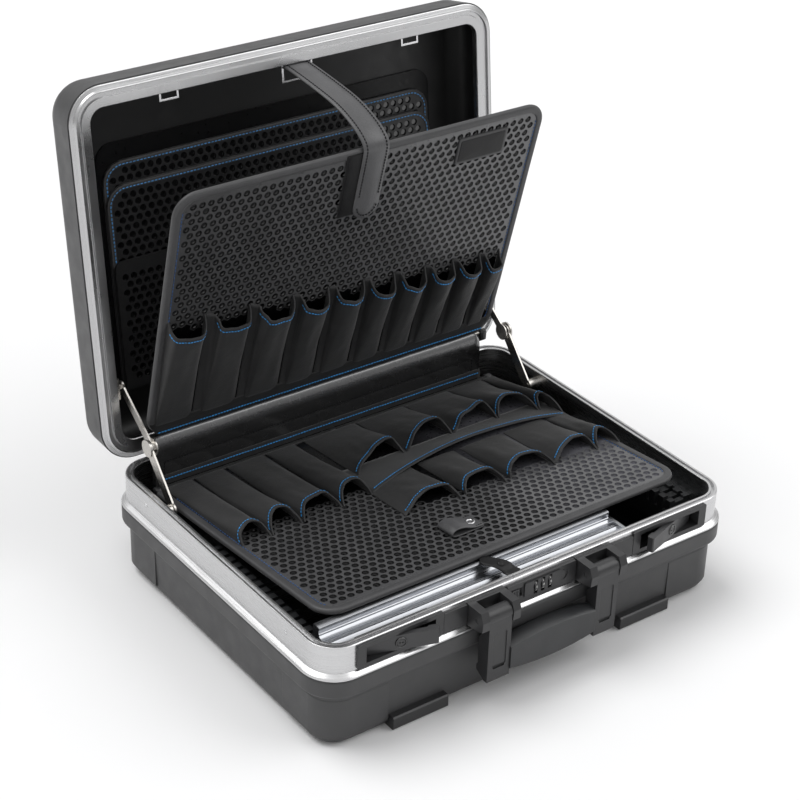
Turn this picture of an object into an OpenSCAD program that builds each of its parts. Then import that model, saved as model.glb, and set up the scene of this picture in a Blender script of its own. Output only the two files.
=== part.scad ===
/* [Case] */
// Width of the aluminium frame, left to right
case_w = 480; // [440:5:540]
// Depth of the aluminium frame, front to rear
case_d = 370; // [350:2:420]
// Plan radius of the frame corners
corner_r = 30; // [27:1:36]
// Height of the lower half, floor to rim
base_h = 112; // [106:1:130]
// Height of the lid above the rim
lid_h = 56; // [50:1:70]
// Wall of the moulded shells
wall = 3; // [2.6:0.1:3.4]
// How far the lid stands open from closed
lid_open = 96.3; // [90:0.1:100]

/* [Lower shell] */
// Inset of the shell wall under the frame
shell_inset = 2; // [1.6:0.1:3]
// Draft of the shell wall over its height
shell_draft = 2; // [0:0.5:3]
// Radius of the bottom edge
edge_r = 10; // [6:1:13]
// Height of the bead under the frame
bead_h = 20; // [14:1:24]
// Reach of the bead past the frame face
bead_out = 5; // [3:0.5:7]
// Radius of the bead edges
bead_r = 3.4; // [2:0.2:4.5]
// Thickness of the corner pads
pad_out = 1.6; // [1:0.1:2]
// Straight length of each corner pad
pad_len = 41; // [20:1:42]

/* [Lid shell] */
// Reach of the lid shell past the frame at its rim
lid_out = 6; // [4:0.5:7]
// Draft of the lid shell
lid_draft = 2.5; // [0:0.5:4]
// Radius of the lid shell edge
lid_edge_r = 22; // [14:1:24]
// Thickness of the lid shell rim
lid_rim_t = 3; // [2:0.5:4]

/* [Frames] */
// Height of the lower frame face
frame_h = 33; // [31:1:36]
// Thickness of the lower frame
frame_t = 8.5; // [8:0.1:10]
// Width of each top lip
lip_t = 2.8; // [2.2:0.1:3]
// Depth of the seal groove
groove_d = 3; // [2:0.5:4]
// Width of the lid frame mating face
lid_frame_t = 15.5; // [14:0.5:17]
// Visible height of the lid frame
lid_face = 5; // [4:0.5:6]
// Gap between the two frames when closed
seal_gap = 0.4; // [0.3:0.1:0.8]

/* [Hinge] */
// Distance of the hinge axis behind the frame
hinge_off = 4; // [3.9:0.1:5]
// Outer radius of the hinge knuckles
knuckle_r = 3; // [2.6:0.1:3.3]
// Radius of the hinge pin
hinge_pin_r = 1.2; // [1:0.1:1.5]
// Length of one knuckle
knuckle_len = 20; // [16:1:30]
// Thickness of the hinge leaves
leaf_t = 1.2; // [1:0.1:1.6]
// Running clearance on the radius
fit = 0.05; // [0.03:0.01:0.08]

/* [Latches] */
// Distance of each latch from the end of the frame
latch_in = 80; // [72:1:90]
// Length of the latch bezel
bezel_l = 94; // [86:1:100]
// Height of the latch bezel
bezel_h = 25; // [22:0.5:26]
// Length of the latch lever
lever_l = 72; // [60:1:74]
// Height of the latch lever
lever_h = 16; // [14:0.5:16.6]
// Thickness of the latch lever
lever_t = 5.6; // [5:0.1:6]
// How far the open lever is turned
lever_open = 18; // [8:1:20]
// Radius of the key cylinder
key_r = 4; // [3:0.1:4.5]

/* [Handle] */
// Distance of each handle arm from the middle
arm_x = 64; // [58:1:68]
// Width of a handle arm
arm_w = 26; // [24:1:34]
// Width of one bracket ear
ear_t = 8.5; // [5:0.5:9]
// Length of the arm below its pin
arm_l = 69; // [64:1:72]
// Reach of the pin in front of the frame
pin_out = 16; // [15:0.5:18]
// Radius of the handle pin
pin_r = 2.5; // [2:0.1:3]
// Radius of the arm barrel
barrel_r = 8; // [7:0.5:8.5]
// Largest radius of the grip
grip_r = 18.5; // [16:0.5:19]
// Depth of the grip
grip_t = 19.4; // [17:0.1:19.6]

/* [Combination lock] */
// Width of the lock plate
lock_w = 82; // [76:1:83]
// Radius of the dials
dial_r = 7; // [6:0.5:7.4]
// Width of a dial
dial_w = 3.8; // [3.2:0.1:4.2]
// Distance between the dials
dial_pitch = 8.4; // [8:0.1:9]
// Travel of the lock slide
slide_run = 4; // [3:0.5:5]

/* [Dividers] */
// Pitch of the rail slots
slot_pitch = 12; // [10:0.5:14]
// Thickness of the cross bars
divider_t = 4; // [3:0.5:5]
// Depth of the rail slots
slot_depth = 14; // [12:1:18]
// Wall of the rails
rail_wall = 2.5; // [2:0.25:4]

/* [Boards] */
// Gap between the tool boards and the lower frame
board_gap = 18.5; // [18:0.5:23]
// Reach of each board from its rod
board_l = 301; // [285:1:302]
// Thickness of the board panel
panel_t = 3.4; // [2.6:0.2:4]
// Thickness of the edge binding
binding_t = 6; // [5:0.2:6.4]
// Width of the edge binding
binding_w = 8; // [6:0.5:10]
// Corner radius of the boards
board_r = 24; // [16:1:30]
// Forward lean of the upper board
board_lean = 14.2; // [12:0.1:16]
// Radius of the board rods
rod_r = 1.6; // [1.2:0.1:1.8]
// Radius of the board sleeves
sleeve_r = 3.6; // [3.2:0.1:3.8]
// Wall of the cloth pockets
cloth_t = 1.2; // [1:0.1:1.6]
// Height of the upper pockets off the board
upper_pocket_h = 17; // [12:1:18]
// Height of the lower pockets off the board
lower_pocket_h = 11; // [8:1:12]
// Gap between two pockets
pocket_gap = 3; // [2:0.5:5]

/* [Lid stays] */
// Distance of the stay links from the lower frame
stay_in = 12.5; // [12.1:0.1:12.7]
// Thickness of a stay link
link_t = 2; // [1.6:0.1:2.1]
// Width of the upper link
link_w = 9; // [8:0.5:10]
// Radius of the stay rivets
stay_pin_r = 3; // [2.5:0.1:3.2]
// Radius of the middle discs
disc_r = 9; // [7:0.5:9.5]

/* [Hidden] */

half_w = case_w / 2;
half_d = case_d / 2;
// Underside of the lower frame
frame_z = base_h - frame_h;
// Mating plane of the closed lid frame
lid_z = base_h + seal_gap;
// Hinge axis
hinge_y = half_d + hinge_off;
hinge_z = base_h + seal_gap;
// Inner face of the lower frame at the front, rear and sides
in_y = half_d - frame_t;
in_x = half_w - frame_t;
// Inner edge of the lid frame
lid_in_y = half_d - lid_frame_t;
lid_in_x = half_w - lid_frame_t;
latch_x = half_w - latch_in;
board_hw = in_x - board_gap;
stay_x = in_x - stay_in;
// Slot in the frame that takes the shell rim
slot_in = shell_inset + wall + 0.2;
slot_out = shell_inset - 0.2;
tongue_h = 7;
floor_x = shell_inset + shell_draft + edge_r;
grey_dark = [0.16, 0.16, 0.17];
black = [0.05, 0.05, 0.055];
silver = [0.78, 0.78, 0.8];

// Sweeps a profile of outward offset and height round the rounded outline
module ring(w, d, r) {
    for (i = [0:3]) {
        len = (i % 2 == 0 ? w : d) - 2 * r;
        off = (i % 2 == 0 ? d : w) / 2;
        rotate([0, 0, -90 * i]) {
            translate([-len / 2, off, 0])
                rotate([90, 0, 90])
                    linear_extrude(height = len)
                        children();
            translate([len / 2, off - r, 0])
                rotate_extrude(angle = 90, $fn = 64)
                    translate([r, 0])
                        children();
        }
    }
}

// The same profile at the four corners only, with a short straight run each way
module corners(w, d, r, run) {
    for (i = [0:3]) {
        off = (i % 2 == 0 ? d : w) / 2;
        side = (i % 2 == 0 ? w : d) / 2 - r;
        rotate([0, 0, -90 * i]) {
            for (s = [-1, 1])
                translate([s * side - (s > 0 ? run : 0), off, 0])
                    rotate([90, 0, 90])
                        linear_extrude(height = run)
                            children();
            translate([side, off - r, 0])
                rotate_extrude(angle = 90, $fn = 64)
                    translate([r, 0])
                        children();
        }
    }
}

// Rounded rectangle between two corners
module round_rect(x0, y0, x1, y1, r) {
    translate([x0 + r, y0])
        square([x1 - x0 - 2 * r, y1 - y0]);
    translate([x0, y0 + r])
        square([x1 - x0, y1 - y0 - 2 * r]);
    for (x = [x0 + r, x1 - r])
        for (y = [y0 + r, y1 - r])
            translate([x, y])
                circle(r = r, $fn = 48);
}

// Plan outline of a rounded rectangle centred on the axis
module outline(w, d, r) {
    round_rect(-w / 2, -d / 2, w / 2, d / 2, r);
}

// Filled section of a tray: wall from top_o at the rim to low_o above the edge radius
module tray_fill(rim, top_o, low_o, er, depth) {
    polygon([[-depth, 0], [low_o - er, 0], [low_o - er, er], [low_o, er],
        [top_o, rim], [-depth, rim]]);
    quarter(low_o - er, er, er);
}

// Quarter disc below and outside its centre
module quarter(o, z, r) {
    intersection() {
        translate([o, z])
            circle(r = r, $fn = 64);
        translate([o - 0.5, z - r - 1])
            square([r + 1.5, r + 1.5]);
    }
}

// Space inside the tray section
module tray_space(rim, top_o, low_o, er, depth) {
    polygon([[-depth - 1, wall], [low_o - er, wall], [low_o - er, er],
        [low_o - wall, er], [top_o - wall, rim], [top_o - wall, rim + 1],
        [-depth - 1, rim + 1]]);
    quarter(low_o - er, er, er - wall);
}

// Bead under the lower frame
module bead_section() {
    x0 = -shell_inset - 1;
    x1 = bead_out - bead_r;
    z0 = frame_z - bead_h;
    translate([x0, z0])
        square([x1 - x0, bead_h]);
    translate([x0, z0 + bead_r])
        square([bead_out - x0, bead_h - 2 * bead_r]);
    for (z = [z0 + bead_r, frame_z - bead_r])
        translate([x1, z])
            circle(r = bead_r, $fn = 48);
}

base_depth = floor_x + 4;

module base_shell() {
    color(grey_dark)
    difference() {
        union() {
            difference() {
                union() {
                    ring(case_w, case_d, corner_r) {
                        union() {
                            tray_fill(frame_z, -shell_inset,
                                -shell_inset - shell_draft, edge_r, base_depth);
                            bead_section();
                        }
                    }
                    corners(case_w, case_d, corner_r, pad_len)
                        corner_pad_section();
                }
                ring(case_w, case_d, corner_r)
                    tray_space(frame_z, -shell_inset,
                        -shell_inset - shell_draft, edge_r, base_depth);
            }
            linear_extrude(height = wall)
                outline(case_w - 2 * floor_x - 4, case_d - 2 * floor_x - 4,
                    corner_r - floor_x - 2);
            ring(case_w, case_d, corner_r)
                translate([-shell_inset - wall + 0.2, frame_z - 2])
                    square([wall - 0.4, tongue_h + 2]);
            handle_recess_rim();
        }
        handle_recess();
    }
}

// Pads that thicken the corners of the lower shell
module corner_pad_section() {
    z1 = frame_z - bead_h - 8;
    low = -shell_inset - shell_draft;
    difference() {
        polygon([[low - edge_r, 0], [low + pad_out, edge_r],
            [low + pad_out, z1], [low, z1 + 4], [low - edge_r, z1 + 4]]);
        translate([low + pad_out, 0])
            difference() {
                translate([-edge_r, -1])
                    square([edge_r + 1, edge_r + 1]);
                translate([-edge_r, edge_r])
                    circle(r = edge_r, $fn = 64);
            }
    }
}

recess_w = 2 * (arm_x - arm_w / 2) - 8;
recess_z = [frame_z - bead_h - 30, frame_z - bead_h - 4];

// Shallow finger panel behind the grip
module handle_recess() {
    translate([0, -half_d + shell_inset + 1.2, (recess_z[0] + recess_z[1]) / 2])
        rotate([90, 0, 0])
            linear_extrude(height = 10)
                outline(recess_w, recess_z[1] - recess_z[0], 6);
}

module handle_recess_rim() {
    translate([0, -half_d + shell_inset + wall + 3, (recess_z[0] + recess_z[1]) / 2])
        rotate([90, 0, 0])
            linear_extrude(height = 3)
                outline(recess_w + 8, recess_z[1] - recess_z[0] + 8, 8);
}

// Section of the lower frame extrusion
module base_frame_section() {
    polygon([[bead_out, frame_z], [bead_out, frame_z + 1.4], [bead_out - 1, frame_z + 2.4],
        [0, frame_z + 5.2], [0, base_h - 0.8], [-0.8, base_h], [-lip_t, base_h],
        [-lip_t, base_h - groove_d], [-frame_t + lip_t, base_h - groove_d],
        [-frame_t + lip_t, base_h], [-frame_t + 0.6, base_h],
        [-frame_t, base_h - 0.6], [-frame_t, frame_z - 3], [-slot_in, frame_z - 3],
        [-slot_in, frame_z + tongue_h + 0.4], [-slot_out, frame_z + tongue_h + 0.4],
        [-slot_out, frame_z]]);
}

// Window through the front of the lower frame
module front_window(x, w, z0, z1) {
    translate([x - w / 2, -half_d - 8, z0])
        cube([w, frame_t + 10, z1 - z0]);
}

tray_z0 = frame_z + tongue_h + 1;
tray_z1 = base_h - 5;
tray_zm = (tray_z0 + tray_z1) / 2;
bezel_out = 2.4;

module base_frame() {
    color(silver)
    difference() {
        ring(case_w, case_d, corner_r)
            base_frame_section();
        for (s = [-1, 1])
            front_window(s * latch_x, lever_l + 7, tray_z0, tray_z1);
        front_window(0, dial_window_w + 4, tray_z0, tray_z1);
    }
}

rivet_r = 2.4;

// Domed rivets on the sides of the lower frame
module frame_rivets() {
    color(silver)
    for (s = [-1, 1])
        for (y = [-half_d + 62, half_d - 62])
            translate([s * half_w, y, base_h - 12])
                rotate([0, s * 90, 0])
                    intersection() {
                        cylinder(r = rivet_r, h = 1, $fn = 32);
                        translate([0, 0, -rivet_r])
                            sphere(r = rivet_r * 1.35, $fn = 32);
                    }
}

foot_l = 62;
foot_x = 136;

// Skids under the front edge
module front_feet() {
    y1 = -half_d + shell_inset + shell_draft;
    color(black)
    difference() {
        for (s = [-1, 1])
            translate([s * foot_x - foot_l / 2, 0, 0])
                rotate([90, 0, 90])
                    linear_extrude(height = foot_l)
                        polygon([[y1 - 8, 1.5], [y1 - 6.5, 0], [y1 + edge_r, 0],
                            [y1 + edge_r, 4], [y1 + 1, 14], [y1 - 6.5, 14],
                            [y1 - 8, 12.5]]);
        ring(case_w, case_d, corner_r)
            tray_fill(frame_z, -shell_inset,
                -shell_inset - shell_draft, edge_r, base_depth);
    }
}

hinge_l = case_w - 2 * corner_r - 20;
knuckles = floor(hinge_l / knuckle_len);
hinge_x0 = -knuckles * knuckle_len / 2;

// Knuckles of one leaf, every second one starting at first
module knuckle_row(first) {
    for (i = [first:2:knuckles - 1])
        translate([hinge_x0 + i * knuckle_len + 0.15, hinge_y, hinge_z])
            rotate([0, 90, 0])
                cylinder(r = knuckle_r, h = knuckle_len - 0.3, $fn = 40);
}

module hinge_bore() {
    translate([hinge_x0 - 1, hinge_y, hinge_z])
        rotate([0, 90, 0])
            cylinder(r = hinge_pin_r + fit, h = knuckles * knuckle_len + 2, $fn = 40);
}

// Web from a leaf to its knuckles
module knuckle_web(first, z0, z1) {
    for (i = [first:2:knuckles - 1])
        translate([hinge_x0 + i * knuckle_len + 0.15, half_d, z0])
            cube([knuckle_len - 0.3, hinge_off, z1 - z0]);
}

module hinge_base_leaf() {
    color(silver)
    difference() {
        union() {
            translate([hinge_x0, half_d, frame_z + 13])
                cube([knuckles * knuckle_len, leaf_t, frame_h - 15]);
            knuckle_row(0);
            knuckle_web(0, base_h - 4, base_h - 2);
        }
        hinge_bore();
    }
}

module hinge_pin() {
    color(silver)
        translate([hinge_x0 - 0.6, hinge_y, hinge_z])
            rotate([0, 90, 0])
                cylinder(r = hinge_pin_r, h = knuckles * knuckle_len + 1.2, $fn = 40);
}

// Turns what is drawn closed to the open pose of the lid
module lid_pose() {
    translate([0, hinge_y, hinge_z])
        rotate([-lid_open, 0, 0])
            translate([0, -hinge_y, -hinge_z])
                children();
}

module hinge_lid_leaf() {
    color(silver)
    lid_pose()
        difference() {
            union() {
                translate([hinge_x0, half_d, lid_z + 1.5])
                    cube([knuckles * knuckle_len, leaf_t, lid_face - 1.9]);
                knuckle_row(1);
                knuckle_web(1, lid_z + 1.2, lid_z + 2.6);
            }
            hinge_bore();
        }
}

bezel_z0 = tray_zm - bezel_h / 2;
// Turning axis of the latch levers
lever_y = -half_d - bezel_out + 3.2;
lever_front = -half_d - bezel_out - 1.6;
lever_pin_r = 1.3;
tray_depth = frame_t + 6;

// Left latch bezel, a framed tray in the front window
module bezel_body() {
    difference() {
        union() {
            translate([-latch_x, -half_d, tray_zm])
                rotate([90, 0, 0])
                    linear_extrude(height = bezel_out)
                        outline(bezel_l, bezel_h, 2);
            translate([-latch_x - lever_l / 2 - 3.4, -half_d - 0.5, tray_z0 + 0.1])
                cube([lever_l + 6.8, tray_depth + 0.5, tray_z1 - tray_z0 - 0.2]);
        }
        translate([-latch_x - lever_l / 2 - 1.8, -half_d - bezel_out - 1, tray_zm - lever_h / 2 - 0.3])
            cube([lever_l + 3.6, tray_depth + bezel_out - 0.2, lever_h + 0.6]);
    }
    translate([-latch_x, lever_y, tray_z0 + 0.2])
        cylinder(r = lever_pin_r, h = tray_z1 - tray_z0 - 0.4, $fn = 32);
}

module latch_bezel_left() {
    color(black)
        bezel_body();
}

module latch_bezel_right() {
    color(black)
        mirror([1, 0, 0])
            bezel_body();
}

// Turns the left lever to its open rest pose
module lever_pose() {
    translate([-latch_x, lever_y, tray_zm])
        rotate([0, 0, -lever_open])
            children();
}

module lever_body() {
    lever_pose()
        difference() {
            translate([0, 0, -lever_h / 2])
                linear_extrude(height = lever_h)
                    lever_plan();
            translate([0, 0, -lever_h])
                cylinder(r = lever_pin_r + fit, h = 2 * lever_h, $fn = 32);
            translate([0, lever_front - lever_y - 1, 0])
                rotate([-90, 0, 0])
                    cylinder(r = key_r + fit, h = 1 + key_t + fit, $fn = 40);
        }
}

key_t = 2;

// Plan of the lever about its pin, thicker at the inner end
module lever_plan() {
    f = lever_front - lever_y;
    circle(r = lever_pin_r + 1.6, $fn = 32);
    polygon([[-lever_l / 2, f + 1], [-lever_l / 2 + 1.5, f], [lever_l / 2 - 1, f],
        [lever_l / 2, f + 1], [lever_l / 2, f + 6.4], [lever_l / 2 - 2, f + 7.4],
        [lever_l / 2 - 8, f + 7.4], [lever_l / 2 - 10, f + lever_t],
        [-lever_l / 2, f + lever_t]]);
}

module latch_lever_left() {
    color(grey_dark)
        lever_body();
}

module latch_lever_right() {
    color(grey_dark)
        mirror([1, 0, 0])
            lever_body();
}

// Key cylinder in the face of the lever
module key_body() {
    lever_pose()
        translate([0, lever_front - lever_y, 0])
            rotate([-90, 0, 0])
                difference() {
                    translate([0, 0, -0.5])
                        cylinder(r = key_r, h = key_t + 0.5, $fn = 40);
                    translate([-2.4, -0.5, -1])
                        cube([4.8, 1, 1.6]);
                }
}

module lock_cylinder_left() {
    color(silver)
        key_body();
}

module lock_cylinder_right() {
    color(silver)
        mirror([1, 0, 0])
            key_body();
}

bracket_w = arm_w + 2 * ear_t + 1;
bracket_z0 = frame_z + 5.5;
bracket_z1 = base_h - 5;
pin_y = -half_d - pin_out;
pin_z = base_h - 15.5;

// Side shape of one bracket ear
module ear_shape() {
    difference() {
        union() {
            translate([pin_y - 5, bracket_z0 + 6])
                square([pin_out + 5, bracket_z1 - bracket_z0 - 6]);
            translate([pin_y + 3, bracket_z0])
                square([pin_out - 3, 8]);
            polygon([[pin_y - 9, bracket_z1 - 9], [pin_y - 5, bracket_z1],
                [pin_y - 4, bracket_z1], [pin_y - 4, bracket_z0 + 2],
                [pin_y - 8, bracket_z0 + 3]]);
            polygon([[pin_y - 5, bracket_z0 + 2.5], [pin_y + 3, bracket_z0],
                [pin_y + 3, bracket_z0 + 8], [pin_y - 5, bracket_z0 + 8]]);
        }
        translate([pin_y, pin_z])
            circle(r = pin_r + fit, $fn = 40);
    }
}

module bracket_body() {
    translate([-arm_x - bracket_w / 2, -half_d - 3, bracket_z0])
        cube([bracket_w, 3, bracket_z1 - bracket_z0]);
    for (s = [-1, 1])
        translate([-arm_x + s * (bracket_w - ear_t) / 2 - ear_t / 2, 0, 0])
            rotate([90, 0, 90])
                linear_extrude(height = ear_t)
                    ear_shape();
}

module handle_bracket_left() {
    color(grey_dark)
        bracket_body();
}

module handle_bracket_right() {
    color(grey_dark)
        mirror([1, 0, 0])
            bracket_body();
}

module handle_pins() {
    color(silver)
    for (s = [-1, 1])
        translate([s * arm_x - bracket_w / 2 + 0.5, pin_y, pin_z])
            rotate([0, 90, 0])
                cylinder(r = pin_r, h = bracket_w - 1, $fn = 40);
}

arm_front = pin_y - barrel_r + 0.5;
arm_back = pin_y + barrel_r;
arm_z0 = pin_z - arm_l;

// Side shape of the arm, a barrel that runs into a deep lower part
module arm_side() {
    difference() {
        union() {
            translate([pin_y, pin_z])
                circle(r = barrel_r, $fn = 48);
            polygon([[arm_front, pin_z], [arm_front, arm_z0], [arm_front + 5, arm_z0],
                [arm_back + 0.5, arm_z0 + 7], [arm_back + 0.5, arm_z0 + 13],
                [arm_back - 1, arm_z0 + 14], [arm_back - 1, pin_z - 24],
                [arm_front + 7, pin_z - 16], [arm_front + 7, pin_z]]);
        }
        translate([pin_y, pin_z])
            circle(r = pin_r + fit, $fn = 40);
    }
}

// Left handle arm with its recessed face panel
module arm_body() {
    difference() {
        translate([-arm_x - arm_w / 2, 0, 0])
            rotate([90, 0, 90])
                linear_extrude(height = arm_w)
                    arm_side();
        translate([-arm_x, arm_front + 0.8, (pin_z - 17 + arm_z0 + 15) / 2])
            rotate([90, 0, 0])
                linear_extrude(height = 4)
                    outline(arm_w - 10, pin_z - 17 - arm_z0 - 15, 1.5);
        translate([-arm_x, arm_front + 1.6, arm_z0 + 13.8])
            rotate([90, 0, 0])
                linear_extrude(height = 4)
                    outline(arm_w - 13, 2.2, 0.8);
    }
}

module handle_arm_left() {
    color(grey_dark)
        arm_body();
}

module handle_arm_right() {
    color(grey_dark)
        mirror([1, 0, 0])
            arm_body();
}

grip_l = 2 * arm_x - arm_w;
grip_z = arm_z0 + grip_r;
// Radius of the arc that swells the grip
grip_arc = (pow(grip_l / 2, 2) + pow(4, 2)) / 8;

// Swelled grip, flattened front and rear
module handle_grip() {
    color(black)
    intersection() {
        translate([-grip_l / 2, pin_y, grip_z])
            rotate([0, 90, 0])
                rotate_extrude($fn = 64)
                    intersection() {
                        square([grip_r, grip_l]);
                        translate([grip_r - grip_arc, grip_l / 2])
                            circle(r = grip_arc, $fn = 200);
                    }
        translate([-grip_l, pin_y - grip_t / 2 + 0.6, grip_z - 2 * grip_r])
            cube([2 * grip_l, grip_t, 4 * grip_r]);
    }
}

dial_window_w = 3 * dial_pitch + 18;
dial_y = -half_d - 6 + dial_r;
axle_r = 1.2;

module lock_housing() {
    color(black)
    difference() {
        union() {
            translate([0, -half_d, (bracket_z0 + bracket_z1) / 2])
                rotate([90, 0, 0])
                    linear_extrude(height = 3)
                        outline(lock_w, bracket_z1 - bracket_z0, 1.5);
            translate([-dial_window_w / 2 - 1.8, -half_d - 0.5, tray_z0 + 0.1])
                cube([dial_window_w + 3.6, tray_depth + 0.5, tray_z1 - tray_z0 - 0.2]);
            translate([0, -half_d - 2.9, tray_zm])
                rotate([90, 0, 0])
                    linear_extrude(height = 1.6)
                        outline(dial_window_w, 15.5, 2);
        }
        for (i = [-1, 0, 1])
            translate([i * dial_pitch - dial_w / 2 - 0.3, -half_d - 8, tray_zm - dial_r - 0.4])
                cube([dial_w + 0.6, 8 + tray_depth - 0.8, 2 * dial_r + 0.8]);
        translate([-dial_window_w / 2 + 1, dial_y, tray_zm])
            rotate([0, 90, 0])
                cylinder(r = axle_r + fit, h = dial_window_w - 2, $fn = 32);
        translate([slide_x - slide_w / 2 - 0.2, -half_d - 5, tray_zm - slide_h / 2 - 0.2])
            cube([slide_w + slide_run + 0.4, 6.2, slide_h + 0.4]);
        translate([dial_window_w / 2 + 3.5, -half_d - 2, tray_zm])
            rotate([90, 0, 0])
                linear_extrude(height = 4)
                    difference() {
                        circle(r = 6, $fn = 40);
                        translate([-2.6, 0])
                            circle(r = 6, $fn = 40);
                        translate([-13, -7])
                            square([12, 14]);
                    }
    }
}

slide_w = 8;
slide_h = 9;
slide_x = -dial_window_w / 2 - slide_w / 2 - slide_run - 2;

module dial_axle() {
    color(silver)
        translate([-dial_window_w / 2 + 1.2, dial_y, tray_zm])
            rotate([0, 90, 0])
                cylinder(r = axle_r, h = dial_window_w - 2.4, $fn = 32);
}

// One ten-sided dial with a finger groove at each edge
module dial(i) {
    translate([i * dial_pitch - dial_w / 2, dial_y, tray_zm])
        rotate([0, 90, 0])
            difference() {
                cylinder(r = dial_r, h = dial_w, $fn = 10);
                translate([0, 0, -1])
                    cylinder(r = axle_r + fit, h = dial_w + 2, $fn = 32);
                for (k = [0:9])
                    rotate([0, 0, 36 * k])
                        translate([dial_r, 0, -1])
                            cylinder(r = 0.55, h = dial_w + 2, $fn = 16);
            }
}

module dial_left() {
    color(black)
        dial(-1);
}

module dial_middle() {
    color(black)
        dial(0);
}

module dial_right() {
    color(black)
        dial(1);
}

module lock_slide() {
    color(grey_dark)
    difference() {
        translate([slide_x - slide_w / 2, -half_d - 4, tray_zm - slide_h / 2])
            cube([slide_w, 3.9, slide_h]);
        for (k = [-1, 0, 1])
            translate([slide_x + k * 2 - 0.4, -half_d - 5, tray_zm - slide_h / 2 + 1])
                cube([0.8, 1.5, slide_h - 2]);
    }
}

// Plates that fill the face between latches and brackets
module filler_plates() {
    x0 = arm_x + bracket_w / 2 + 0.3;
    x1 = latch_x - bezel_l / 2 - 0.3;
    color(black)
    for (s = [-1, 1])
        translate([s * (x0 + x1) / 2, -half_d, (bracket_z0 + bracket_z1) / 2])
            rotate([90, 0, 0])
                linear_extrude(height = 2.2)
                    outline(x1 - x0, bracket_z1 - bracket_z0 - 1, 1);
}

div_y = -in_y + 36;
rail_y0 = div_y + 1;
rail_y1 = 44;
rail_top = frame_z + 7;
rail_z0 = frame_z - 25;
rail_in = in_x - 26;
slot_y0 = rail_y0 + 8;
bar_y = [for (k = [4, 7, 9]) slot_y0 + k * slot_pitch];

// Slotted plastic rail along the right wall
module rail_body() {
    difference() {
        translate([rail_in, rail_y0, rail_z0])
            cube([in_x - rail_in, rail_y1 - rail_y0, rail_top - rail_z0]);
        translate([rail_in + rail_wall, rail_y0 - 1, rail_z0 - 1])
            cube([in_x - rail_in - 2 * rail_wall, rail_y1 - rail_y0 + 2, 9]);
        for (y = [slot_y0:slot_pitch:rail_y1 - 5])
            translate([rail_in - 1, y - divider_t / 2 - 0.2, rail_top - slot_depth])
                cube([in_x - rail_in - rail_wall + 1, divider_t + 0.4, slot_depth + 1]);
        translate([rail_in + 7, rail_y0 - 1, rail_top - 3])
            cube([in_x - rail_in - 14, rail_y1 - rail_y0 + 2, 4]);
    }
}

module side_rail_right() {
    color(black)
        rail_body();
}

module side_rail_left() {
    color(black)
        mirror([1, 0, 0])
            rail_body();
}

// Three black bars that drop into the rail slots
module cross_dividers() {
    color(black)
    for (y = bar_y)
        translate([-in_x + rail_wall + 0.3, y - divider_t / 2, rail_top - slot_depth])
            cube([2 * (in_x - rail_wall - 0.3), divider_t, slot_depth - 2]);
}

div_top = base_h + 1;
div_x0 = -in_x + 9;
div_x1 = 114;
// Front edge of the divider's low shelf, behind the latch trays
shelf_y = -half_d + tray_depth + 0.4;

// Ribbed aluminium divider along the front
module front_divider() {
    color(silver)
    translate([div_x0, 0, 0])
        rotate([90, 0, 90])
            linear_extrude(height = div_x1 - div_x0)
                difference() {
                    polygon([[div_y - 9, div_top - 1], [div_y - 8, div_top],
                        [div_y, div_top], [div_y + 1, div_top - 1],
                        [div_y + 1, rail_z0 + 6], [div_y - 1.4, rail_z0 + 6],
                        [div_y - 1.4, div_top - 13], [shelf_y + 1.5, div_top - 13],
                        [shelf_y + 1.5, div_top - 20], [shelf_y, div_top - 20],
                        [shelf_y, div_top - 11], [div_y - 9, div_top - 9]]);
                    for (k = [0:3])
                        translate([shelf_y + 3 + 5 * k, div_top - 11])
                            square([1.4, 1.2]);
                }
}

// Upright partition at the right end of the divider
module side_partition() {
    color(black)
        translate([div_x1, -in_y, rail_z0])
            cube([3.4, bar_y[0] - divider_t / 2 + in_y, base_h - rail_z0 - 6]);
}

// Rods of the two boards
rod_u = [lid_in_y + 1.5, base_h + 26];
rod_l = [lid_in_y - 14.5, base_h - 24];
spine_y0 = rod_l[0] + sleeve_r + 0.4;
spine_y1 = lid_in_y - 2.5;
spine_z0 = rod_l[1] - 5;
spine_z1 = rod_u[1] - 5;
lug_w = 8;
lug_x = board_hw - lug_w - 2;

// Tilt of the lower board, resting on the divider
board_tilt = atan2(div_top + 0.3 + binding_t / 2 - rod_l[1], rod_l[0] - div_y);

module spine_lug(x, p) {
    translate([x - lug_w / 2, p[0], p[1]])
        rotate([0, 90, 0])
            cylinder(r = sleeve_r, h = lug_w, $fn = 40);
}

module rod_bore(p) {
    translate([-board_hw, p[0], p[1]])
        rotate([0, 90, 0])
            cylinder(r = rod_r + fit, h = 2 * board_hw, $fn = 32);
}

// Section of the spine, leaning back over the frame
module spine_section() {
    lean = rod_u[0] - (spine_y0 + spine_y1) / 2;
    polygon([[spine_y0, spine_z0 + 1.5], [spine_y0 + 1.5, spine_z0],
        [spine_y1 - 1.5, spine_z0], [spine_y1, spine_z0 + 1.5],
        [spine_y1, lid_z + 10], [spine_y1 + lean, spine_z1 - 4],
        [spine_y1 + lean - 2, spine_z1], [spine_y0 + lean + 2, spine_z1],
        [spine_y0 + lean, spine_z1 - 2], [spine_y0, lid_z + 6]]);
}

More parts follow.
